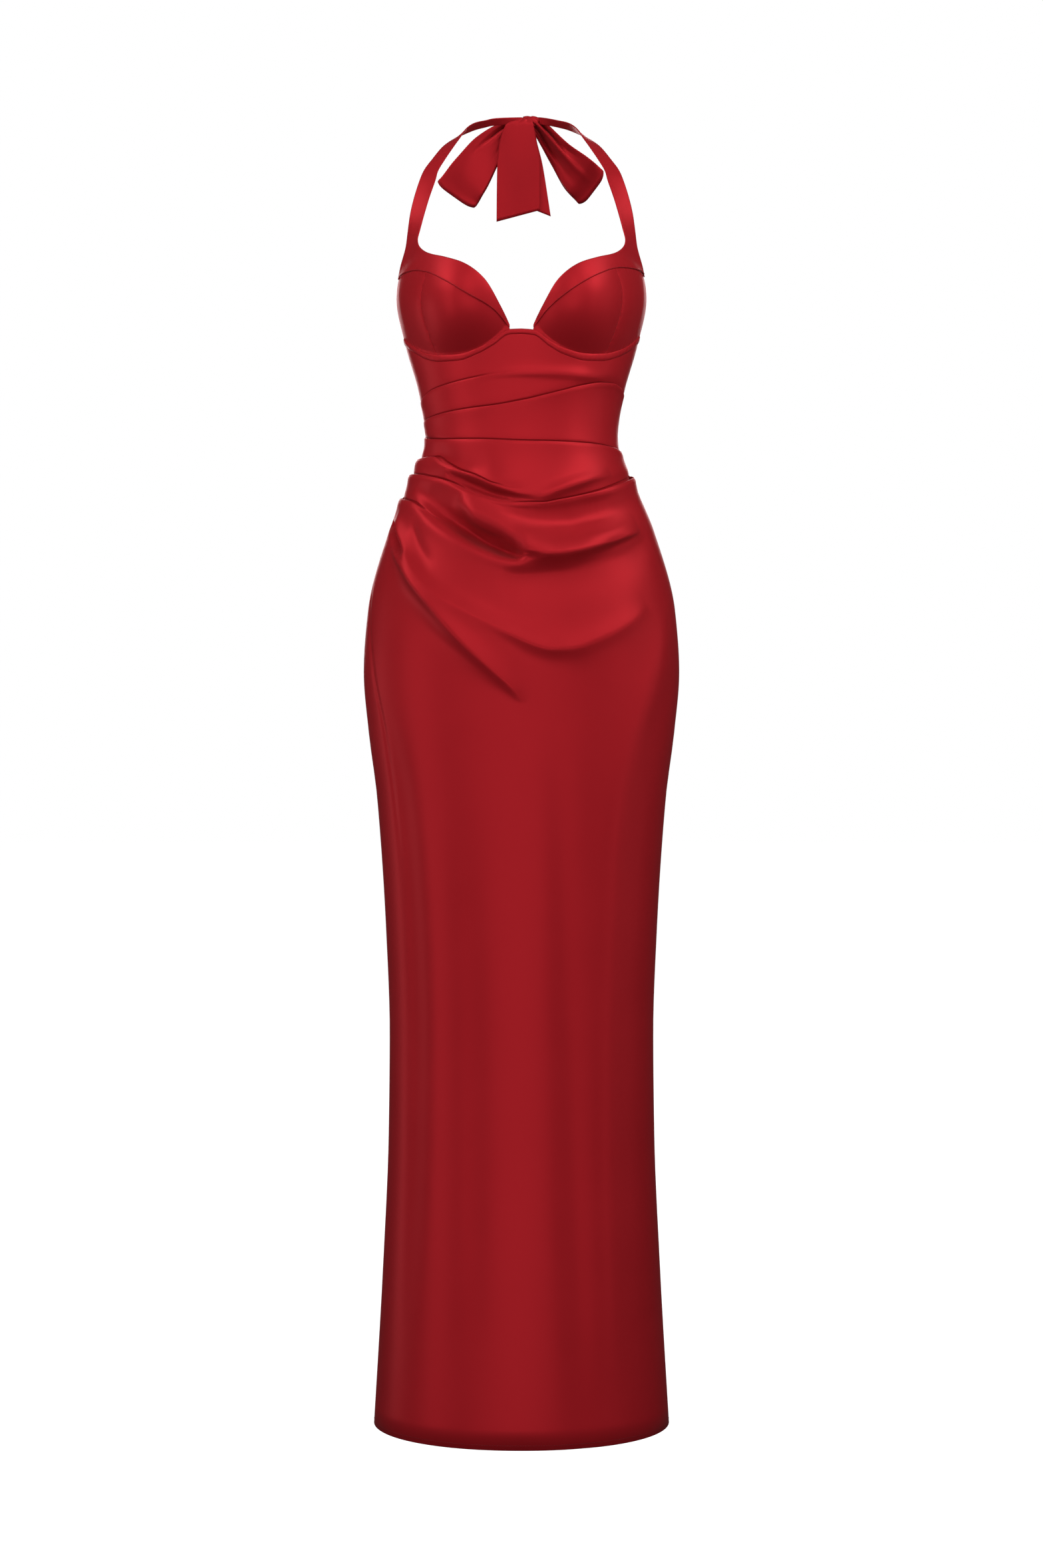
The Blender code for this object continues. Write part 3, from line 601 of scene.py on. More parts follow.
def fold_relief(fold, angle, z, power):
    """How far one soft fold moves the cloth outward."""
    here = fold_places(fold)
    margin = FOLD_MARGIN * max(fold["left"].max(), fold["right"].max())
    near = np.full(angle.shape, True)
    for name, value, room in (("height", z, margin), ("angle", angle, margin / SHORTEST_DEGREE)):
        near &= (value > fold[name].min() - room) & (value < fold[name].max() + room)
    out = np.zeros(angle.shape)
    if not near.any():
        return out
    a, h = angle[near], z[near]
    scale = degree_length(a, h)
    over = (a[:, None] - here["angle"]) * scale[:, None]
    up = h[:, None] - here["height"]
    nearest = np.argmin(over ** 2 + up ** 2, axis=1)
    over, up = (values[np.arange(len(a)), nearest] for values in (over, up))
    along_a = np.gradient(here["angle"])[nearest] * scale
    along_h = np.gradient(here["height"])[nearest]
    size = np.hypot(along_a, along_h)
    side = (along_a * up - along_h * over) / size
    beyond = (along_a * over + along_h * up) / size
    reach = np.where(side > 0, here["left"][nearest], here["right"][nearest])
    past_end = np.where((nearest == 0) | (nearest == len(here["angle"]) - 1), beyond, 0.0)
    away = np.hypot(side, past_end) / reach
    out[near] = here["amount"][nearest] * np.exp(-away ** power)
    return out


def lap_value(lap, name, angle):
    return curve(lap, "angle", name, angle)


def lap_lip(lap, angle):
    """A lap's lip, pressed flat where it is sewn into the side seam."""
    held = mix(SEAM_HOLD, 1.0, ease((SEAM_HOLD_ANGLE - np.abs(angle)) / SEAM_HOLD_REACH))
    return lap_value(lap, "lip", angle) * held


def lap_relief(angle, z, passed):
    """Relief of the laps at places that lie below the first `passed` of them."""
    out = np.zeros(np.broadcast(angle, z).shape)
    for k, lap in enumerate(LAPS):
        drop = lap_value(lap, "height", angle) - z
        below = np.clip(drop, 0, None)
        above = np.clip(-drop, 0, None)
        rounded = 1 - LAP_ROLL_SHARE * np.exp(-(below / LAP_ROLL) ** 2)
        lip = lap_lip(lap, angle)
        proud = lip * rounded * np.exp(-(below / lap_value(lap, "fade", angle)) ** 1.5)
        broad = np.exp(-(above / lap_value(lap, "reach", angle)) ** 2)
        crevice = np.minimum(1, lip / FULL_CREVICE_LIP) * np.exp(-above / CREVICE_REACH)
        dip = lap_value(lap, "dip", angle) * broad + LAP_CREVICE * crevice
        out += np.where(passed > k, proud, -dip)
    return out


def soft_relief(angle, z):
    return (sum(fold_relief(fold, angle, z, ROUND) for fold in FOLDS)
            + sum(fold_relief(fold, angle, z, SHARP) for fold in SHARP_FOLDS))


# %% [markdown]
# ## The front panel
#
# Its rows follow the lap lines, so that each lap is a clean edge.  At a lap ten rows make the
# S: they go down behind the fold, turn, come back up inside it and over its rounded edge.

# %% Front panel
FRONT_COLUMNS = 180
LAP_APPROACH = (0.0075, 0.0050, 0.0034, 0.0023, 0.0015, 0.0009, 0.0004)
LAP_LEAVING = (0.0006, 0.0014, 0.0024, 0.0038, 0.0056)
ROWS_BETWEEN = 3
HIP_ROWS = 70
HIP_END_Z = -0.735
SKIRT_ROWS = 36
HEM_TURN = 0.0065
TOP_LEAVING = (0.0006, 0.0030)
ROOM_PARTS = 13           # a row near a lap takes no more than its part of the room there
LAP_FLAT = np.linspace(0.0012, -0.0022, 10)        # the ten steps where there is no lap
LAP_DROP = (0.0012, -0.0012, -0.0032, -0.0042, -0.0038, -0.0018, -0.0004, 0.0, -0.0004, -0.0016)
LAP_STANDS = (0.0, -0.0003, -0.0002, 0.0003, 0.0009, -0.0012, -0.0008, -0.0003, 0.0, 0.0)
LAP_IS_LOWER = np.arange(10) >= 5

CASING_DEPTH = in_mm(("angle", "right", "left"), (
    (0, 6, 6),
    (13, 6, 6.5),
    (33, 7, 8),
    (57, 7.5, 8.5),
    (84, 8.5, 9),
))
WIRE_LINE = in_mm(("angle", "right", "left"), (
    (0, -278.5, -278.5),
    (5, -279, -279.5),
    (13, -290.5, -291.5),
    (21, -299, -299.5),
    (33, -305, -304),
    (46, -304, -302),
    (57, -299, -296),
    (70, -287, -285),
    (84, -275, -272),
))


def line_height(table, angle):
    """Height of a bodice line at signed angles."""
    right = curve(table, "angle", "right", np.abs(angle))
    left = curve(table, "angle", "left", np.abs(angle))
    return np.where(angle < 0, right, left)


def wire_line(angle):
    return line_height(WIRE_LINE, angle)


def front_top(angle):
    return wire_line(angle) - line_height(CASING_DEPTH, angle) - SEAM_GAP / 2


def lap_line(lap, share):
    """Height of a lap's edge in every column."""
    return column_place(share, lambda angle: lap_value(lap, "height", angle))[1]


def front_rows(share):
    """Heights, laps passed and S steps of the front's rows, for every column."""
    start = column_place(share, front_top)[1]
    rows = [(start, 0, -1)]
    leaving = TOP_LEAVING
    for k, lap in enumerate(LAPS):
        line = lap_line(lap, share)
        end = line + LAP_FLAT[0]
        part = (start - end) / ROOM_PARTS
        near = [start - np.minimum(away, part * (i + 1)) for i, away in enumerate(leaving)]
        far = [end + np.minimum(away, part * (len(LAP_APPROACH) - i))
               for i, away in enumerate(LAP_APPROACH)]
        middle = [mix(near[-1], far[0], (i + 1) / (ROWS_BETWEEN + 1)) for i in range(ROWS_BETWEEN)]
        rows += [(row, k, -1) for row in near + middle + far]
        rows += [(line + flat, k + int(LAP_IS_LOWER[i]), i) for i, flat in enumerate(LAP_FLAT)]
        start = line + LAP_FLAT[-1]
        leaving = LAP_LEAVING
    start = start - LAP_LEAVING[0]
    below = [mix(start, HIP_END_Z, r / HIP_ROWS) for r in range(HIP_ROWS)]
    below += [mix(HIP_END_Z, HEM_Z, r / SKIRT_ROWS) + 0 * start for r in range(SKIRT_ROWS + 1)]
    rows += [(row, len(LAPS), -1) for row in below]
    return [np.array(values) for values in zip(*rows)]


def front_grid():
    share = np.linspace(-2, 2, FRONT_COLUMNS + 1)
    heights, passed, steps = front_rows(share)
    angle = column_angle(share[None], heights)
    out = lap_relief(angle, heights, passed[:, None]) + soft_relief(angle, heights)
    for k, lap in enumerate(LAPS):
        line = lap_line(lap, share)
        at = column_angle(share, line)
        soft = soft_relief(at, line)
        opened = ease(lap_lip(lap, at) / LAP_OPEN)
        for step, is_lower in enumerate(LAP_IS_LOWER):
            row = np.flatnonzero(steps == step)[k]
            folded = lap_relief(at, line, k + is_lower) + soft + LAP_STANDS[step]
            out[row] = mix(out[row], folded, opened)
            heights[row] = mix(heights[row], line + LAP_DROP[step], opened)
    angle = column_angle(share[None], heights)
    return body(angle, heights, out)


def hemmed(grid):
    """The grid with its lowest row turned up inside as a narrow hem."""
    rows = []
    for inward, up in ((0.0005, -0.0003), (0.0011, 0.0002), (0.0014, 0.0016), (0.0014, HEM_TURN)):
        rows.append(grid[-1] - normals_of(grid)[-2] * inward)
        rows[-1][:, 2] = grid[-1, :, 2] + up
    return np.concatenate((grid, np.array(rows)))


cloth("front_panel", turned(tucked(hemmed(front_grid()), "top"), ("left", "right")))

# %% [markdown]
# ## Cups
#
# Each cup is a centre piece and a side piece, joined by an upright seam that bows over the
# fullest place.  Sewing draws the edges in a little, so small puckers run off every seam:
# here they are a sum of two waves whose steps never quite agree.

# %% Cup pieces
CUP_SEAM_BOW = 6.0
CUP_ROWS = 58
CUP_COLUMNS = 66
PUCKER_STEP = 0.0062
CUP_VALLEY = 0.0018       # how far a cup panel is pulled in at the seam between the two
CUP_VALLEY_REACH = {"centre": 0.013, "side": 0.006}
BAND_EDGE_PUCKERS = (0.00010, 0.006)               # depth, reach
WIRE_EDGE_PUCKERS = (0.00020, 0.005)
CUP_SEAM_PUCKERS = (0.00025, 0.005)
CUP_SEAM_TOP = in_mm(("angle", "right", "left"), (
    (5, -277, -277),
    (12, -259, -257),
    (24, -243, -235),
    (36, -226, -219),
    (47, -213.5, -209),
    (60, -207, -204),
    (72, -206, -202),
    (80, -208, -205),
))


def band_seam(angle):
    return line_height(CUP_SEAM_TOP, angle)


def puckers(walked, away, depth, reach):
    """Small uneven waves along a seam that die out over `reach` from it."""
    wave = np.sin(2 * math.pi * walked / PUCKER_STEP)
    wave += 0.8 * np.sin(2 * math.pi * walked / (PUCKER_STEP * 1.618) + 1.3)
    return 0.5 * depth * wave * np.exp(-(away / reach) ** 2)


def cup_grid(side, inner, outer):
    """Grid of one cup piece between two column shares."""
    share = np.linspace(inner, outer, CUP_COLUMNS + 1)
    low = column_place(side * share, wire_line)[1] + SEAM_GAP / 2
    high = column_place(side * share, band_seam)[1] - SEAM_GAP / 2
    up = np.linspace(1, 0, CUP_ROWS + 1)[:, None]
    z = mix(low, high, up)
    across = (share - inner) / (outer - inner)
    seam_is_outer = outer == 1
    near_seam = across if seam_is_outer else 1 - across
    angle = np.abs(column_angle(side * share, z))
    angle = angle + near_seam * CUP_SEAM_BOW * np.sin(math.pi * up)
    angle[:, 0] += seam_share(z[:, 0])
    if seam_is_outer:
        angle[:, -1] -= seam_share(z[:, -1])
    flat = body(side * angle, z)
    along, down = lengths(flat, 1), lengths(flat, 0)
    relief = puckers(along, down, *BAND_EDGE_PUCKERS)
    relief += puckers(along + 0.01, down[-1] - down, *WIRE_EDGE_PUCKERS)
    seam_away = along[:, -1:] - along if seam_is_outer else along
    relief += puckers(down, seam_away, *CUP_SEAM_PUCKERS)
    reach = CUP_VALLEY_REACH["centre" if seam_is_outer else "side"]
    relief -= CUP_VALLEY * np.exp(-seam_away / reach) * np.sin(math.pi * up) ** 0.5
    grid = body(side * angle, z, relief)
    return grid if side > 0 else grid[:, ::-1]


ALL_EDGES = ("top", "bottom", "left", "right")
SIDES = {"right": -1, "left": 1}
BRIDGE_SHARE = BRIDGE_ANGLE / CUP_SEAM_ANGLE
for side_name, side_sign in SIDES.items():
    for piece_name, inner, outer in (("cup_centre_", BRIDGE_SHARE, 1), ("cup_side_", 1, 2)):
        grid = turned(cup_grid(side_sign, inner, outer), ("left", "right"))
        cloth(piece_name + side_name, tucked(tucked(grid, "top"), "bottom"))

# %% [markdown]
# ## Underwire casing
#
# A narrow bias strip covers the wire.  The wire inside makes it a round ridge, which catches a
# thin line of light along its top.

# %% Casing
CASING_PROUD = 0.0014
CASING_EDGE_PROUD = 0.25  # share of it at the strip's edges
CASING_CREST = 0.86       # the crest lies a little above the middle, which would be 1
CASING_PUCKERS = (0.00016, 0.004)
CASING_ROWS = 10
CASING_COLUMNS = 260


def casing_depth(angle):
    return line_height(CASING_DEPTH, angle) - SEAM_GAP


def casing_grid():
    share = np.linspace(-2, 2, CASING_COLUMNS + 1)
    wire = column_place(share, wire_line)[1] - SEAM_GAP / 2
    walked = lengths(body(column_angle(share, wire), wire), 0)
    depth = casing_depth(share * CUP_SEAM_ANGLE)
    rows = []
    for part in np.linspace(0, 1, CASING_ROWS + 1):
        angle, z = column_place(share, lambda angle: (
            wire_line(angle) - SEAM_GAP / 2 - part * casing_depth(angle)))
        proud = mix(CASING_EDGE_PROUD, 1, np.sqrt(max(0.0, 1 - (2 * part - CASING_CREST) ** 2)))
        out = CASING_PROUD * proud + puckers(walked, (part - 0.5) * depth, *CASING_PUCKERS)
        rows.append(body(angle, z, out))
    return np.array(rows)


cloth("underwire_casing", turned(casing_grid(), ALL_EDGES))

# %% [markdown]
# ## Neck bands and bow
#
# The band above the cups, the straps and the whole bow are satin folded double and pressed.
# So these pieces are flat tubes with two faces and two soft folded edges, and no single sheet.

# %% Doubled cloth
BAND_WALL = 0.0013
TIE_WALL = 0.0011
FOLDED_EDGE = ((0.25, 0.35), (0.50, 0.48), (0.75, 0.35))     # inward, outward, in walls


def doubled(name, grid, wall, flip=False):
    """Flat tube under a grid of points on its outer face: rows run along it."""
    inward = normals_of(grid) * (wall if flip else -wall)
    across = unit(np.gradient(grid, axis=1)) * wall
    far = [grid[:, -1] + inward[:, -1] * d + across[:, -1] * o for d, o in FOLDED_EDGE]
    near = [grid[:, 0] + inward[:, 0] * d - across[:, 0] * o for d, o in reversed(FOLDED_EDGE)]
    ring = np.concatenate((grid, np.stack(far, 1), (grid + inward)[:, ::-1], np.stack(near, 1)), 1)
    index = numbered(ring)
    faces = grid_faces(index, closed=True, flip=flip)
    ends = [index[0].tolist(), index[-1].tolist()[::-1]]
    piece = add_piece(name + "_cloth", ring, faces + [end[::-1] if flip else end for end in ends],
                      SATIN)
    lay_out(piece, lengths(ring, 1), lengths(ring, 0))
    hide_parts(name)
    print(name, *index.shape, "points in its tube,", 2 * len(faces), "triangles")


# %% Neck bands
NECKLINE = in_mm(("angle", "half_width", "height"), (
    (5, 13.5, -274.5),
    (12, 24.5, -254.5),
    (24, 43, -225.5),
    (36, 64, -209),
    (47, 85, -200),
    (60, 102, -193),
    (72, 111, -187),
    (80, 116, -181),
))
STRAP_COLUMNS = ("outer_x", "outer_y", "outer_z", "inner_x", "inner_y", "inner_z")
STRAP = in_mm(STRAP_COLUMNS, (
    (139.5, -84, -193, 118, -122, -177.5),
    (133.5, -91, -174, 119, -115, -169),
    (130.8, -94.5, -155, 116.3, -110, -156),
    (128.1, -94, -135, 111.8, -105, -137),
    (123.8, -90.5, -115, 106.5, -99, -117),
    (117.8, -85, -94, 100.3, -90.5, -96),
    (112.5, -79, -80, 97, -83, -82),
    (103.5, -69, -65, 88.8, -73, -65.5),
    (93.5, -56, -49, 80.2, -63, -50),
    (83.5, -43, -37.5, 72.9, -53, -37),
    (71.5, -29, -27, 64.5, -43, -22.5),   # the strap turns over the shoulder
    (56.5, -17, -17.2, 55, -31, -12.6),
    (43.7, -8, -11.2, 42.5, -18, -6),
    (31, -2, -6.8, 29.5, -8, -0.6),
))
STRAP_KNOT_OUTER = (0.0048, -0.0030)
STRAP_KNOT_INNER = (0.0042, 0.0042)
KNOT_CENTRE = np.array((0.0098, 0.0050, -0.0006))
KNOT_HALF = np.array((0.0128, 0.0058, 0.0068))
KNOT_REACH = 0.0030       # how far the straps go on inside the knot
BAND_ROWS = 96
BAND_ACROSS = 20
STRAP_STEPS = 11
BLEND_ROWS = 22           # rows over which a band turns into its strap
BLEND_PASSES = 140
BLEND_PACE = 0.8
BLEND_START = 0.12        # share of the width over which the blending sets in
CLEAR = 0.00005
BAND_PUCKERS = (0.00016, 0.006)


def through(points, steps):
    """Places along a smooth curve through a row of points (Catmull-Rom)."""
    padded = np.concatenate((points[:1], points, points[-1:]))
    slopes = (padded[2:] - padded[:-2]) / 2
    t = np.linspace(0, 1, steps + 1)[1:, None]
    spans = zip(points, points[1:], slopes, slopes[1:])
    return np.concatenate([cubic(*span, t) for span in spans])


def blended(grid, middle):
    """The grid with the rows on each side of one row eased into each other."""
    away = np.abs(np.arange(len(grid)) - middle)
    row_share = np.clip(1 - away / BLEND_ROWS, 0, 1)[1:-1, None, None]
    column_share = ease(np.linspace(0, 1, grid.shape[1]) / BLEND_START)[None, :, None]
    for _ in range(BLEND_PASSES):
        eased = (grid[:-2] + grid[2:]) / 2
        grid[1:-1] += BLEND_PACE * row_share * column_share * (eased - grid[1:-1])
    return grid


def band_grid(side):
    """Outer face of a band and strap: rows from the bridge to the knot."""
    share = np.linspace(BRIDGE_SHARE, 2, BAND_ROWS + 1)
    angle, seam_z = column_place(side * share, band_seam)
    seam_z = seam_z + SEAM_GAP / 2
    half_width = curve(NECKLINE, "angle", "half_width", np.abs(angle))
    neck_z = curve(NECKLINE, "angle", "height", np.abs(angle))
    seam, neck = body(angle, seam_z), body(side * angle_at(half_width, neck_z), neck_z)
    lie = ruled(seam, neck, BAND_ACROSS)
    bodice = body(angle_at(lie[..., 0], lie[..., 2]), lie[..., 2])
    bodice[:, 0], bodice[:, -1] = seam, neck
    knot_x = KNOT_CENTRE[0] + side * (KNOT_HALF[0] - KNOT_REACH)
    sides = []
    edges = (("outer", STRAP_KNOT_OUTER, seam), ("inner", STRAP_KNOT_INNER, neck))
    for edge, last, start in edges:
        points = np.stack([STRAP[edge + "_" + axis] for axis in "xyz"], -1) * (side, 1, 1)
        sides.append(through(np.concatenate((start[-1:], points, [(knot_x, *last)])), STRAP_STEPS))
    grid = np.concatenate((bodice, ruled(*sides, BAND_ACROSS)))
    grid = blended(grid, len(bodice) - 1)
    on_cups = (np.arange(len(grid)) < len(bodice) - BLEND_ROWS)[:, None]
    out = BAND_WALL + CLEAR + on_cups * puckers(lengths(grid, 0), lengths(grid, 1), *BAND_PUCKERS)
    return grid + side * normals_of(grid) * out[..., None]


for side_name, side_sign in SIDES.items():
    doubled("halter_band_" + side_name, band_grid(side_sign), BAND_WALL, flip=side_sign < 0)

# %% Knot
KNOT_ROUNDING = 0.78
KNOT_SLANT = (3.75, 0, 3)
KNOT_CREASE_DEPTH = 0.22
KNOT_CREASE_WIDTH = 0.30
KNOT_TURNS = 72
KNOT_RINGS = 36


def knot_points():
    """A wrapped knot: a boxy ball with slanting creases where the tie goes round."""
    turn = np.linspace(0, 2 * math.pi, KNOT_TURNS, endpoint=False)
    tilt = np.linspace(0, math.pi, KNOT_RINGS + 1)[:, None]
    ball = np.stack((np.sin(tilt) * np.cos(turn), np.sin(tilt) * np.sin(turn),
                     np.cos(tilt) + 0 * turn), -1)
    boxy = np.sign(ball) * np.abs(ball) ** KNOT_ROUNDING
    slant = ball @ KNOT_SLANT + 0.2
    crease = 1 - KNOT_CREASE_DEPTH * np.exp(-(np.sin(slant) / KNOT_CREASE_WIDTH) ** 2)
    return boxy * crease[..., None] * KNOT_HALF + KNOT_CENTRE


points = knot_points()
knot = add_piece("tie_knot_cloth", points, grid_faces(numbered(points), closed=True), SATIN)
lay_out(knot, points[..., 0], points[..., 2])
welded = bmesh.new()
welded.from_mesh(knot.data)
bmesh.ops.remove_doubles(welded, verts=welded.verts, dist=1e-6)
bmesh.ops.recalc_face_normals(welded, faces=welded.faces)
welded.to_mesh(knot.data)
welded.free()
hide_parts("tie_knot")

# %% Bow loops
LOOP_COLUMNS = ("upper_x", "upper_z", "lower_x", "lower_z", "depth", "spread")
LOOPS = {
    "right": in_mm(LOOP_COLUMNS, (
        (-2.6, 3.5, -2.6, -3, 8.8, 2.2),
        (-25, -2, -12, -16, 11, 5),
        (-53.7, -17.7, -28.8, -48, 16, 9),
        (-76, -40, -43, -76, 20, 11),
        (-100, -66.5, -57.2, -96.5, 23.5, 8),
    )),
    "left": in_mm(LOOP_COLUMNS, (
        (20.5, 3, 12, -8, 8.8, 2.2),
        (33, -6.5, 22.5, -23.5, 11, 5),
        (56.1, -28, 36.8, -46.5, 16, 9),
        (79, -43.5, 53, -73.5, 20, 11),
        (98.5, -58, 70.5, -90.5, 23.5, 8),
    )),
}
LOOP_TILT = {"right": 0.0010, "left": 0.0110}     # how far the lower edge hangs further back
LOOP_TIP_ROUNDING = {"right": 0.0035, "left": 0.0050}
LOOP_TIP_SAG = 0.0040
LOOP_TIP_START = 0.80
LOOP_CREASE_COLUMNS = ("start_across", "start", "end_across", "end", "width", "depth")
LOOP_CREASES = {         # creases of the front layer, from their start to their end along it
    "right": named(LOOP_CREASE_COLUMNS, (
        (0.36, 0.02, 0.22, 0.72, 0.060, -0.0066),
        (0.14, 0.02, 0.10, 0.62, 0.090, 0.0036),
        (0.58, 0.00, 0.44, 0.60, 0.100, 0.0036),
        (0.84, 0.00, 0.80, 0.62, 0.080, -0.0036),
    )),
    "left": named(LOOP_CREASE_COLUMNS, (
        (0.24, 0.00, 0.16, 0.75, 0.085, -0.0100),
        (0.44, 0.00, 0.42, 1.05, 0.085, 0.0090),
        (0.70, 0.00, 0.72, 0.95, 0.110, -0.0085),
        (0.06, 0.00, 0.05, 0.40, 0.060, 0.0036),
        (0.90, 0.00, 0.92, 0.45, 0.060, 0.0030),
    )),
}
LOOP_OUTWARD = 44
LOOP_TURN = 12
LOOP_ACROSS = 34


def along(table, share):
    """Values of a table at shares of its length, by column name."""
    table = {**table, "place": np.linspace(0, 1, len(next(iter(table.values()))))}
    return {name: curve(table, "place", name, share) for name in table}


def edge_points(here, edge, depth):
    return np.stack((here[edge + "_x"], depth, here[edge + "_z"]), -1)


def loop_grid(side):
    table = LOOPS[side]
    out = np.linspace(0, 1, LOOP_OUTWARD, endpoint=False)
    share = np.concatenate((out, np.ones(LOOP_TURN + 1), out[::-1]))
    turn = np.concatenate((np.zeros(LOOP_OUTWARD), np.linspace(0, math.pi, LOOP_TURN + 1),
                           np.full(LOOP_OUTWARD, math.pi)))
    here = along(table, share)
    upper, lower = (edge_points(here, edge, 0 * share) for edge in ("upper", "lower"))
    axis = unit((upper + lower) / 2 - KNOT_CENTRE * (1, 0, 1))
    bulge = here["spread"] / 2 * np.sin(turn)
    depth = here["depth"] - here["spread"] / 2 * np.cos(turn)
    across = np.linspace(0, 1, LOOP_ACROSS + 1)
    share, turn, bulge, depth = (v[:, None] for v in (share, turn, bulge, depth))
    near_tip = ease((share - LOOP_TIP_START) / (1 - LOOP_TIP_START))
    outward = bulge - near_tip * LOOP_TIP_ROUNDING[side] * np.abs(2 * across - 1) ** 5
    grid = ruled(upper, lower, LOOP_ACROSS) + axis[:, None] * outward[..., None]
    tilt = LOOP_TILT[side] * (2 * across - 1) * ease(share / 0.5)
    creases = np.clip(np.cos(turn), 0, 1) * loop_creases(LOOP_CREASES[side], across, share)
    grid[..., 1] += depth + tilt + LOOP_TIP_SAG * near_tip - creases
    return grid


def loop_creases(creases, across, share):
    """How far creases move a loop's front layer, strongest in their first part."""
    out = np.zeros(np.broadcast(across, share).shape)
    for k in range(len(creases["start"])):
        row = {name: values[k] for name, values in creases.items()}
        t = (share - row["start"]) / (row["end"] - row["start"])
        line = mix(row["start_across"], row["end_across"], np.clip(t, 0, 1))
        strength = ease(1 - t) * ease((share - row["start"] + 0.04) / 0.10)
        out += row["depth"] * strength * np.exp(-((across - line) / row["width"]) ** 2)
    return out


for side_name in SIDES:
    doubled("bow_loop_" + side_name, loop_grid(side_name), TIE_WALL, flip=side_name == "right")

# %% Tie ends
END_COLUMNS = ("right_x", "right_z", "left_x", "left_z", "depth")
ENDS = {
    "tie_end_front": in_mm(END_COLUMNS, (
        (1, 3.4, 8, 3.2, 2.4),
        (-6, 0.6, 11.2, 0.6, -1.6),
        (-16.5, -4.2, 13.4, -4.8, -2.6),
        (-21.6, -12, 15, -13, -1.4),
        (-26.2, -27.5, 18.2, -28.5, 1.2),
        (-28.4, -48, 21.6, -48, 4),
        (-29.2, -80, 21.7, -75, 9),
        (-29.6, -117.8, 21.6, -104.2, 16),
    )),
    "tie_end_back": in_mm(END_COLUMNS, (
        (0, -4, 15, -4, 6.2),
        (-19, -22, 17.6, -22.5, 4.2),
        (-17, -50, 24.5, -50, 7.2),
        (-12, -92, 34.8, -110.6, 19.2),
    )),
}
END_ROWS = 60
END_ACROSS = 40
GATHERS = 2.4             # waves across an end where it leaves the knot
GATHER_DEPTH = 0.0013
GATHER_REACH = 0.16


def end_grid(table):
    share = np.linspace(0, 1, END_ROWS + 1)
    here = along(table, share)
    right, left = (edge_points(here, edge, here["depth"]) for edge in ("right", "left"))
    grid = ruled(right, left, END_ACROSS)
    across = np.linspace(0, 1, END_ACROSS + 1)
    fading = np.exp(-(share / GATHER_REACH) ** 1.3)[:, None]
    grid[..., 1] += GATHER_DEPTH * fading * np.cos(2 * math.pi * GATHERS * across + 0.4)
    return grid


for name, table in ENDS.items():
    doubled(name, end_grid(table), TIE_WALL)

# %% [markdown]
# ## Back panels
#
# The two backs meet at the centre back seam, which holds the zip.  Nothing gathers them, so
# they are smooth but for a waist dart each and the soft drag folds that a close skirt shows.

# %% Back panels
BACK_NECK = in_mm(("angle", "height"), (
    (80, -206.5),
    (90, -225),
    (108, -262),
    (130, -286),
    (155, -298),
    (180, -300),
))
BACK_EDGE_CLEAR = 1.6
BACK_COLUMNS = 80
BACK_UPPER_ROWS = 90
BACK_LOWER_ROWS = 90
BACK_SPLIT_Z = -0.520
BACK_FOLDS = [in_mm(FOLD_COLUMNS, rows) for rows in (
    (   # drag fold from the hip towards the small of the back
        (100, -470, 0, 10, 7), (118, -456, 2.2, 12, 7), (140, -448, 2.6, 12, 7),
        (160, -450, 0, 10, 7),
    ),
    (   # a second one below it
        (96, -520, 0, 12, 8), (115, -505, 2, 14, 9), (134, -498, 1.6, 14, 9),
        (150, -499, 0, 12, 8),
    ),
    (   # slack at the waist
        (104, -390, 0, 8, 6), (124, -395, 1.2, 10, 6), (146, -402, 1.6, 10, 6),
        (168, -406, 0, 8, 6),
    ),
    (   # long fall below the seat
        (140, -690, 0, 20, 20), (143, -850, -2.6, 22, 22), (146, -1150, -3, 22, 22),
        (148, -1420, -1, 22, 22), (148, -1520, 0, 22, 22),
    ),
)]
DART_ANGLE = 136.0
DART_TOP_Z = -0.330
DART_END_Z = -0.470
DART_DEPTH = 0.0012
DART_WIDTH = 0.0010
DART_TAPER_TOP = 0.012
DART_TAPER_END = 0.030
SIDE_PUSH_REACH = 0.022


def back_relief(side, angle, z):
    """Soft folds, the dart and what the front's laps push out beside the side seam."""
    out = sum(fold_relief(fold, angle, z, ROUND) for fold in BACK_FOLDS)
    away = np.clip(angle - 90, 0, None) * DEGREE_LENGTH
    out += side_relief(side, z[:, 0])[:, None] * np.exp(-(away / SIDE_PUSH_REACH) ** 1.5)
    inside = ease((DART_TOP_Z - z) / DART_TAPER_TOP) * ease((z - DART_END_Z) / DART_TAPER_END)
    dart_away = (angle - DART_ANGLE) * DEGREE_LENGTH
    return out - DART_DEPTH * inside * np.exp(-(dart_away / DART_WIDTH) ** 2)


def side_relief(side, z):
    """Relief of the front panel along its side seam."""
    angle = np.full_like(z, side * 89.0)
    passed = sum((z < lap_value(lap, "height", angle)).astype(int) for lap in LAPS)
    return lap_relief(angle, z, passed) + soft_relief(angle, z)


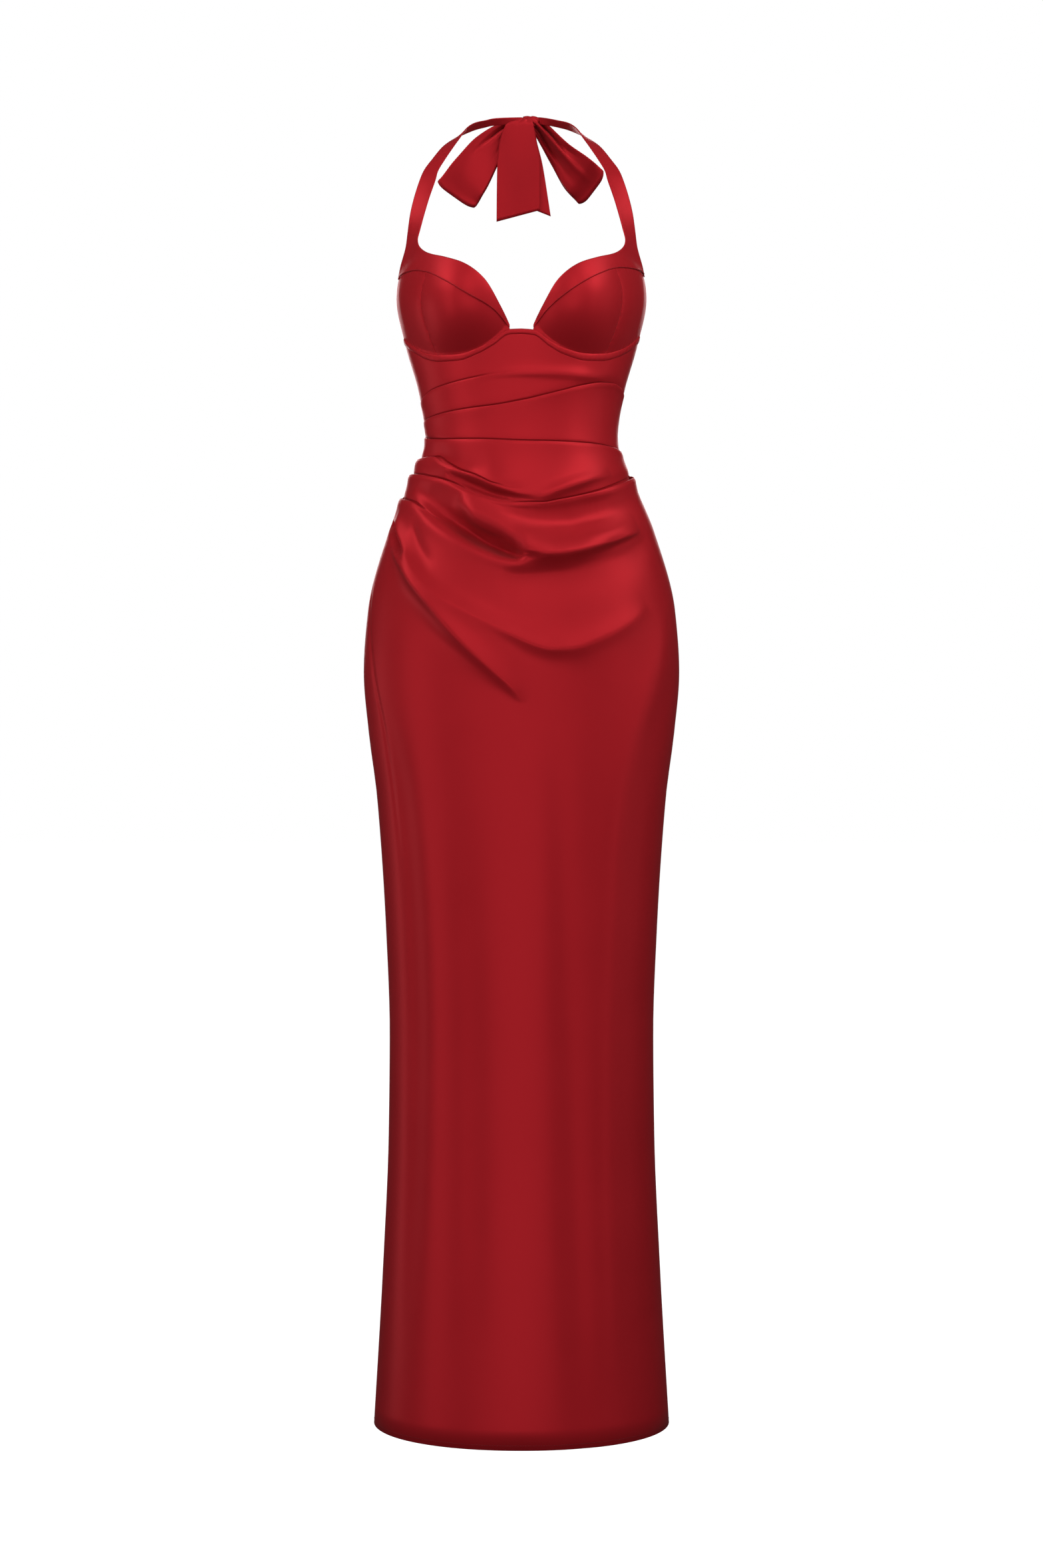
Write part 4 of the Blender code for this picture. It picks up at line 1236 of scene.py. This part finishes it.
def back_grid(side):
    across = np.linspace(0, 1, BACK_COLUMNS + 1)
    top = curve(BACK_NECK, "angle", "height", mix(SEAM_ANGLE_TOP, 180.0, across))
    upper = mix(top, BACK_SPLIT_Z, np.linspace(0, 1, BACK_UPPER_ROWS + 1)[:, None])
    down = np.linspace(0, 1, BACK_LOWER_ROWS + 1)[1:, None]
    z = np.concatenate((upper, mix(BACK_SPLIT_Z, HEM_Z, down) + 0 * across))
    front_edge = seam_angle(z) + BACK_EDGE_CLEAR * seam_share(z)
    share = 0.5 * SEAM_GAP / section("half_width", z)
    centre = 180 - np.degrees(np.arcsin(share ** (SQUARENESS / 2)))
    angle = mix(front_edge, centre, across)
    grid = body(side * angle, z, back_relief(side, angle, z))
    return grid if side > 0 else grid[:, ::-1]


for side_name, side_sign in SIDES.items():
    grid = hemmed(back_grid(side_sign))
    cloth("back_panel_" + side_name, turned(grid, ("top", "left", "right")))

# %% [markdown]
# ## Closing zip
#
# Nothing of the fastening shows from the front, but a dress this close must open, so a
# concealed zip closes the centre back seam.  Its coils lie inside the seam, and only the
# enamelled slider and its pull tab are outside.  The tab hangs from the slider's bridge and
# swings on it, so it rides on a body of its own.

# %% Zip materials
ENAMEL_RED = (0.20, 0.010, 0.014)
THREAD_RED = (0.13, 0.005, 0.008)


def make_fine(name, colour, roughness, metallic, grain_size, strength, distance=0.00004):
    """Small hard or stringy things: fine grain in the finish, a little colour drift."""
    material, tree, shader = start_material(name, Metallic=metallic, Coat_Weight=0.0)
    place = add_node(tree, "ShaderNodeTexCoord")
    grain = add_node(tree, "ShaderNodeTexNoise", Scale=1 / grain_size, Detail=2.0)
    ramp = add_node(tree, "ShaderNodeValToRGB")
    for stop, share in zip(ramp.color_ramp.elements, (0.8, 1.2)):
        stop.color = [c * share for c in colour] + [1.0]
    join(tree, (place, "Object", grain, "Vector"), (grain, "Fac", ramp, "Fac"),
         (ramp, "Color", shader, "Base Color"))
    finish_surface(tree, shader, grain, grain, roughness, 0.06, strength, distance)
    return material


ENAMEL = make_fine("zip_enamel", ENAMEL_RED, 0.34, 0.35, 0.0012, 0.15)
THREAD = make_fine("sewing_thread", THREAD_RED, 0.50, 0.0, 0.0004, 0.30)

# %% Slider and pull tab
BRIDGE_HALF = (0.0010, 0.0030)
BRIDGE_PLACE = 0.62       # share of the slider's height
PULL_EYE_HALF = (0.0010, 0.0016)
PULL_EYE_DROP = 0.0036
PULL_TOP_WIDTH = 0.62
SLIDER_WAIST = 0.80
SLIDER_BEVEL = 0.0003
BRIDGE_BEVEL = 0.0004
PULL_BEVEL = 0.00025
SLIDER_LOW, SLIDER_HIGH = (np.array(corner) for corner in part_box("zip_slider"))
PULL_LOW, PULL_HIGH = (np.array(corner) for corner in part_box("zip_pull"))


def zip_part(name, node, ridden, loops, depth_low, depth_high, bevel):
    """Plate cut to an outline in the X-Z plane, with rounded edges and perhaps a hole."""
    shape = bmesh.new()
    edges = []
    for loop in loops:
        points = [shape.verts.new((x, depth_low, z)) for x, z in loop]
        edges += [shape.edges.new((a, b)) for a, b in zip(points, points[1:] + points[:1])]
    filled = bmesh.ops.triangle_fill(shape, use_beauty=True, edges=edges)
    faces = [f for f in filled["geom"] if isinstance(f, bmesh.types.BMFace)]
    raised = bmesh.ops.extrude_face_region(shape, geom=faces)
    moved = [v for v in raised["geom"] if isinstance(v, bmesh.types.BMVert)]
    bmesh.ops.translate(shape, vec=(0, depth_high - depth_low, 0), verts=moved)
    bmesh.ops.recalc_face_normals(shape, faces=shape.faces)
    mesh = bpy.data.meshes.new(name)
    shape.to_mesh(mesh)
    shape.free()
    mesh.materials.append(ENAMEL)
    piece = add_object(name, mesh)
    rounding = piece.modifiers.new("Rounded edges", "BEVEL")
    rounding.width, rounding.segments, rounding.limit_method = bevel, 3, "ANGLE"
    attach(piece, ridden)
    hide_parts(node)


def ellipse(centre, half, count=20):
    return [(centre[0] + half[0] * math.cos(t), centre[1] + half[1] * math.sin(t))
            for t in np.linspace(0, 2 * math.pi, count, endpoint=False)]


def shield(low, high):
    """Outline of a slider plate: wide shoulders, drawn in below."""
    half = (high[0] - low[0]) / 2
    rows = [(1.0, 0.55), (0.94, 0.85), (0.80, 1.0), (0.62, 0.98), (0.45, SLIDER_WAIST),
            (0.22, SLIDER_WAIST), (0.06, 0.62), (0.0, 0.35)]
    right = [(half * w, mix(low[2], high[2], t)) for t, w in rows]
    return right + [(-x, z) for x, z in reversed(right)]


slider_mid = mix(SLIDER_LOW[1], SLIDER_HIGH[1], 0.5)
zip_part("slider_plate", "zip_slider", BODY, [shield(SLIDER_LOW, SLIDER_HIGH)],
         SLIDER_LOW[1], slider_mid, SLIDER_BEVEL)
bridge = ellipse((0, mix(SLIDER_LOW[2], SLIDER_HIGH[2], BRIDGE_PLACE)), BRIDGE_HALF)
zip_part("slider_bridge", "zip_slider", BODY, [bridge], slider_mid, SLIDER_HIGH[1], BRIDGE_BEVEL)

pull_half = (PULL_HIGH - PULL_LOW) / 2
teardrop = []
for t in np.linspace(0, 2 * math.pi, 44, endpoint=False):
    z = mix(PULL_LOW[2], PULL_HIGH[2], 0.5) + pull_half[2] * math.cos(t)
    width = mix(PULL_TOP_WIDTH, 1.0, ease((1 - math.cos(t)) / 2))
    teardrop.append((pull_half[0] * math.sin(t) * width, z))
eye = ellipse((0, PULL_HIGH[2] - PULL_EYE_DROP), PULL_EYE_HALF)
zip_part("pull_tab", "zip_pull", "pull_tab", [teardrop, eye], PULL_LOW[1], PULL_HIGH[1],
         PULL_BEVEL)
print("pull tab", np.round((PULL_HIGH - PULL_LOW) * 1000, 1), "mm")

# %% [markdown]
# ## Stitches
#
# A stitch is a short raised spindle of thread that dips into the cloth at both ends.  One mesh
# holds a whole line of them: the same little shape is copied along the line by array maths.

# %% Stitch lines
STITCH_LENGTH = 0.0022
STITCH_PITCH = 0.0029
STITCH_RADIUS = 0.00016
STITCH_SIDES = 6
HEM_STITCH_RISE = HEM_TURN - 0.0012
BAND_STITCH_RISE = 0.0010
HEM_STITCH_CLEAR = 0.00003
BAND_STITCH_CLEAR = 0.00012
STITCHED_SHARE = 1.97     # the last stitch stands a little short of the side seam
STITCH_RINGS = ((-0.5, 0.25, -1.2), (-0.32, 0.8, 0.35), (0.0, 1.0, 0.8),     # along, girth, lift
                (0.32, 0.8, 0.35), (0.5, 0.25, -1.2))


def stitch_line(name, path, normal):
    """One mesh of stitches along a path that lies on the cloth."""
    walked = lengths(path, 0)
    at = np.arange(STITCH_PITCH, walked[-1] - STITCH_PITCH, STITCH_PITCH)
    centre, up, onward = (
        np.stack([np.interp(at, walked, values[:, k]) for k in range(3)], -1)[:, None]
        for values in (path, normal, np.gradient(path, axis=0)))
    up, onward = unit(up), unit(onward)
    aside = unit(np.cross(up, onward))
    turn = np.linspace(0, 2 * math.pi, STITCH_SIDES, endpoint=False)[:, None]
    round_it = aside * np.cos(turn) + up * np.sin(turn)
    rings = [centre + STITCH_LENGTH * place * onward
             + STITCH_RADIUS * (lift * up + girth * round_it)
             for place, girth, lift in STITCH_RINGS]
    points = np.stack(rings, 1)
    index = numbered(points)
    beside = np.roll(index, -1, axis=2)
    sides = np.stack((index[:, :-1], beside[:, :-1], beside[:, 1:], index[:, 1:]), -1)
    faces = sides.reshape(-1, 4).tolist() + index[:, 0, ::-1].tolist() + index[:, -1].tolist()
    print(name, len(index), "stitches")
    return add_piece(name, points, faces, THREAD)


def on_body(angle, z, out):
    """Path on the body surface with its outward directions."""
    path = body(angle, z, out)
    return path, unit(body(angle, z, 0.01) - body(angle, z, 0.0))


for side_name, side_sign in SIDES.items():
    share = np.linspace(BRIDGE_SHARE * 1.2, STITCHED_SHARE, 300)
    angle, z = column_place(side_sign * share, band_seam)
    path, out = on_body(angle, z + BAND_STITCH_RISE, BAND_WALL + BAND_STITCH_CLEAR)
    stitch_line("band_stitches_" + side_name, path, out)

share = np.linspace(-STITCHED_SHARE, STITCHED_SHARE, 600)
hems = {"front": (column_angle(share, HEM_Z + HEM_TURN), "front_panel")}
for side_name, side_sign in SIDES.items():
    hems[side_name] = (side_sign * np.linspace(91, 179, 300), "back_panel_" + side_name)
for hem_name, (angle, panel) in hems.items():
    path, out = on_body(angle, np.full_like(angle, HEM_Z + HEM_STITCH_RISE), HEM_STITCH_CLEAR)
    stitch_line("hem_stitches_" + hem_name, path, out)

# %% [markdown]
# ## Cloth taken up
#
# A draped panel may bend and fold, but it can't grow.  The front is cut about a tenth longer
# than it hangs, because the laps round the waist and the folds at the hip take cloth up.
# Bands and bow are two layers pressed together.

# %% [markdown]
# ## Camera
#
# The camera stands level in front of the dress, about half way up, and looks along +Y.  Its
# lens is worked out from two plain lengths: how far off it stands, and how tall a piece of the
# world it has to show there.

# %% Camera
CAMERA_DISTANCE = 2.8
CAMERA_HEIGHT = -0.795
VIEW_HEIGHT = 1.8385
SENSOR = 36.0
view = bpy.data.cameras.new("front_view")
view.sensor_width = SENSOR
view.lens = SENSOR * CAMERA_DISTANCE / VIEW_HEIGHT
camera = add_object("front_view", view)
camera.location = (0, AXIS_Y - CAMERA_DISTANCE, CAMERA_HEIGHT)
camera.rotation_euler = (math.radians(90), 0, 0)
bpy.context.scene.camera = camera

# %% [markdown]
# ## Floor
#
# The paper floor glows white, so the hem stands against a clean ground.  It
# is hidden from bounced light: without that, its glow would fill every shadow from below.

# %% Floor
FLOOR_Z = HEM_Z - 0.060
HALF_FLOOR = 30.0
ground = bpy.data.meshes.new("floor")
corners = [(x * HALF_FLOOR, y * HALF_FLOOR, 0) for x, y in ((-1, -1), (1, -1), (1, 1), (-1, 1))]
ground.from_pydata(corners, [], [(0, 1, 2, 3)])
ground.materials.append(start_material(
    "floor_paper", Roughness=0.9, Coat_Weight=0.0, Base_Color=(0.25, 0.25, 0.25, 1),
    Emission_Color=(1, 1, 1, 1), Emission_Strength=1.0)[0])
floor = add_object("floor", ground)
floor.location = (0, 0, FLOOR_Z)
floor.visible_diffuse = floor.visible_glossy = False

# %% [markdown]
# ## Lights
#
# Satin shows its lights as soft streaks, so most lamps are wide panels, and their places
# decide where the streaks lie.  Tall panels at both sides draw the long edges of the skirt,
# high ones light the tops of the folds, and two behind keep the back readable.  A narrow beam
# from each side models the cups.

# %% Lights
STUDIO_GLOW = 0.012       # what the white world gives, beside being seen as white
AREA_LIGHTS = (           # name, place, target, width, height, power
    ("front_high", (0, -3.4, 0.9), (0, AXIS_Y, -0.7), 1.2, 1.2, 22),
    ("front", (0, -3.8, -1.5), (0, AXIS_Y, -1.4), 1.5, 1.2, 22),
    ("front_left", (-1.2, -3.6, -1.1), (0, AXIS_Y, -1.1), 1.0, 2.2, 13),
    ("front_right", (1.2, -3.6, -0.8), (0, AXIS_Y, -0.8), 1.0, 2.2, 8),
    ("tall_left", (-2.4, -1.9, -1.1), (0, AXIS_Y, -1.0), 0.9, 1.8, 16),
    ("tall_right", (2.4, -1.9, -0.8), (0, AXIS_Y, -0.7), 0.9, 2.0, 9),
    ("side_left", (-2.9, 0.2, -1.2), (0, AXIS_Y, -1.1), 0.9, 1.8, 12),
    ("side_right", (2.9, -0.7, -0.4), (0, AXIS_Y, -0.7), 0.9, 2.0, 7),
    ("key", (1.3, -2.2, 1.6), (0, AXIS_Y, -0.7), 0.9, 0.9, 19),
    ("bust_left", (-1.5, -0.9, 1.0), (0, -0.10, -0.2), 1.2, 1.2, 19),
    ("bust_right", (1.5, -0.9, 1.0), (0, -0.10, -0.2), 1.2, 1.2, 18),
    ("back_right", (-0.8, 3.1, 0.5), (0, AXIS_Y, -0.8), 1.2, 1.8, 38),
    ("back_left", (0.8, 3.1, 0.9), (0, AXIS_Y, -0.8), 1.2, 1.8, 32),
)
CUP_LIGHT_POWER = {"left": 46, "right": 42}
CUP_LIGHT_CONE = 24       # degrees
CUP_LIGHT_SOFTNESS = 0.35


def add_lamp(name, kind, place, target, power):
    """A lamp at a place, turned towards a target."""
    data = bpy.data.lights.new(name, kind)
    data.energy = power
    lamp = add_object(name, data)
    lamp.location = place
    lamp.rotation_euler = (Vector(target) - Vector(place)).to_track_quat("-Z", "Y").to_euler()
    return data


for name, place, target, width, height, power in AREA_LIGHTS:
    panel = add_lamp(name, "AREA", place, target, power)
    panel.shape = "RECTANGLE"
    panel.size, panel.size_y = width, height
for side, sign in (("left", -1), ("right", 1)):
    beam = add_lamp("cups_" + side, "SPOT", (sign * 1.3, -1.0, 0.3), (sign * 0.13, -0.12, -0.22),
                    CUP_LIGHT_POWER[side])
    beam.spot_size, beam.spot_blend = math.radians(CUP_LIGHT_CONE), 1.0
    beam.shadow_soft_size = CUP_LIGHT_SOFTNESS

world = bpy.data.worlds.new("studio")
world.use_nodes = True
tree = world.node_tree
background = tree.nodes["Background"]
background.inputs["Color"].default_value = (1, 1, 1, 1)
seen = add_node(tree, "ShaderNodeLightPath")
level = add_node(tree, "ShaderNodeMapRange", To_Min=STUDIO_GLOW, To_Max=1.0)
join(tree, (seen, "Is Camera Ray", level, "Value"), (level, "Result", background, "Strength"))
bpy.context.scene.world = world
bpy.context.scene.view_settings.view_transform = "Standard"
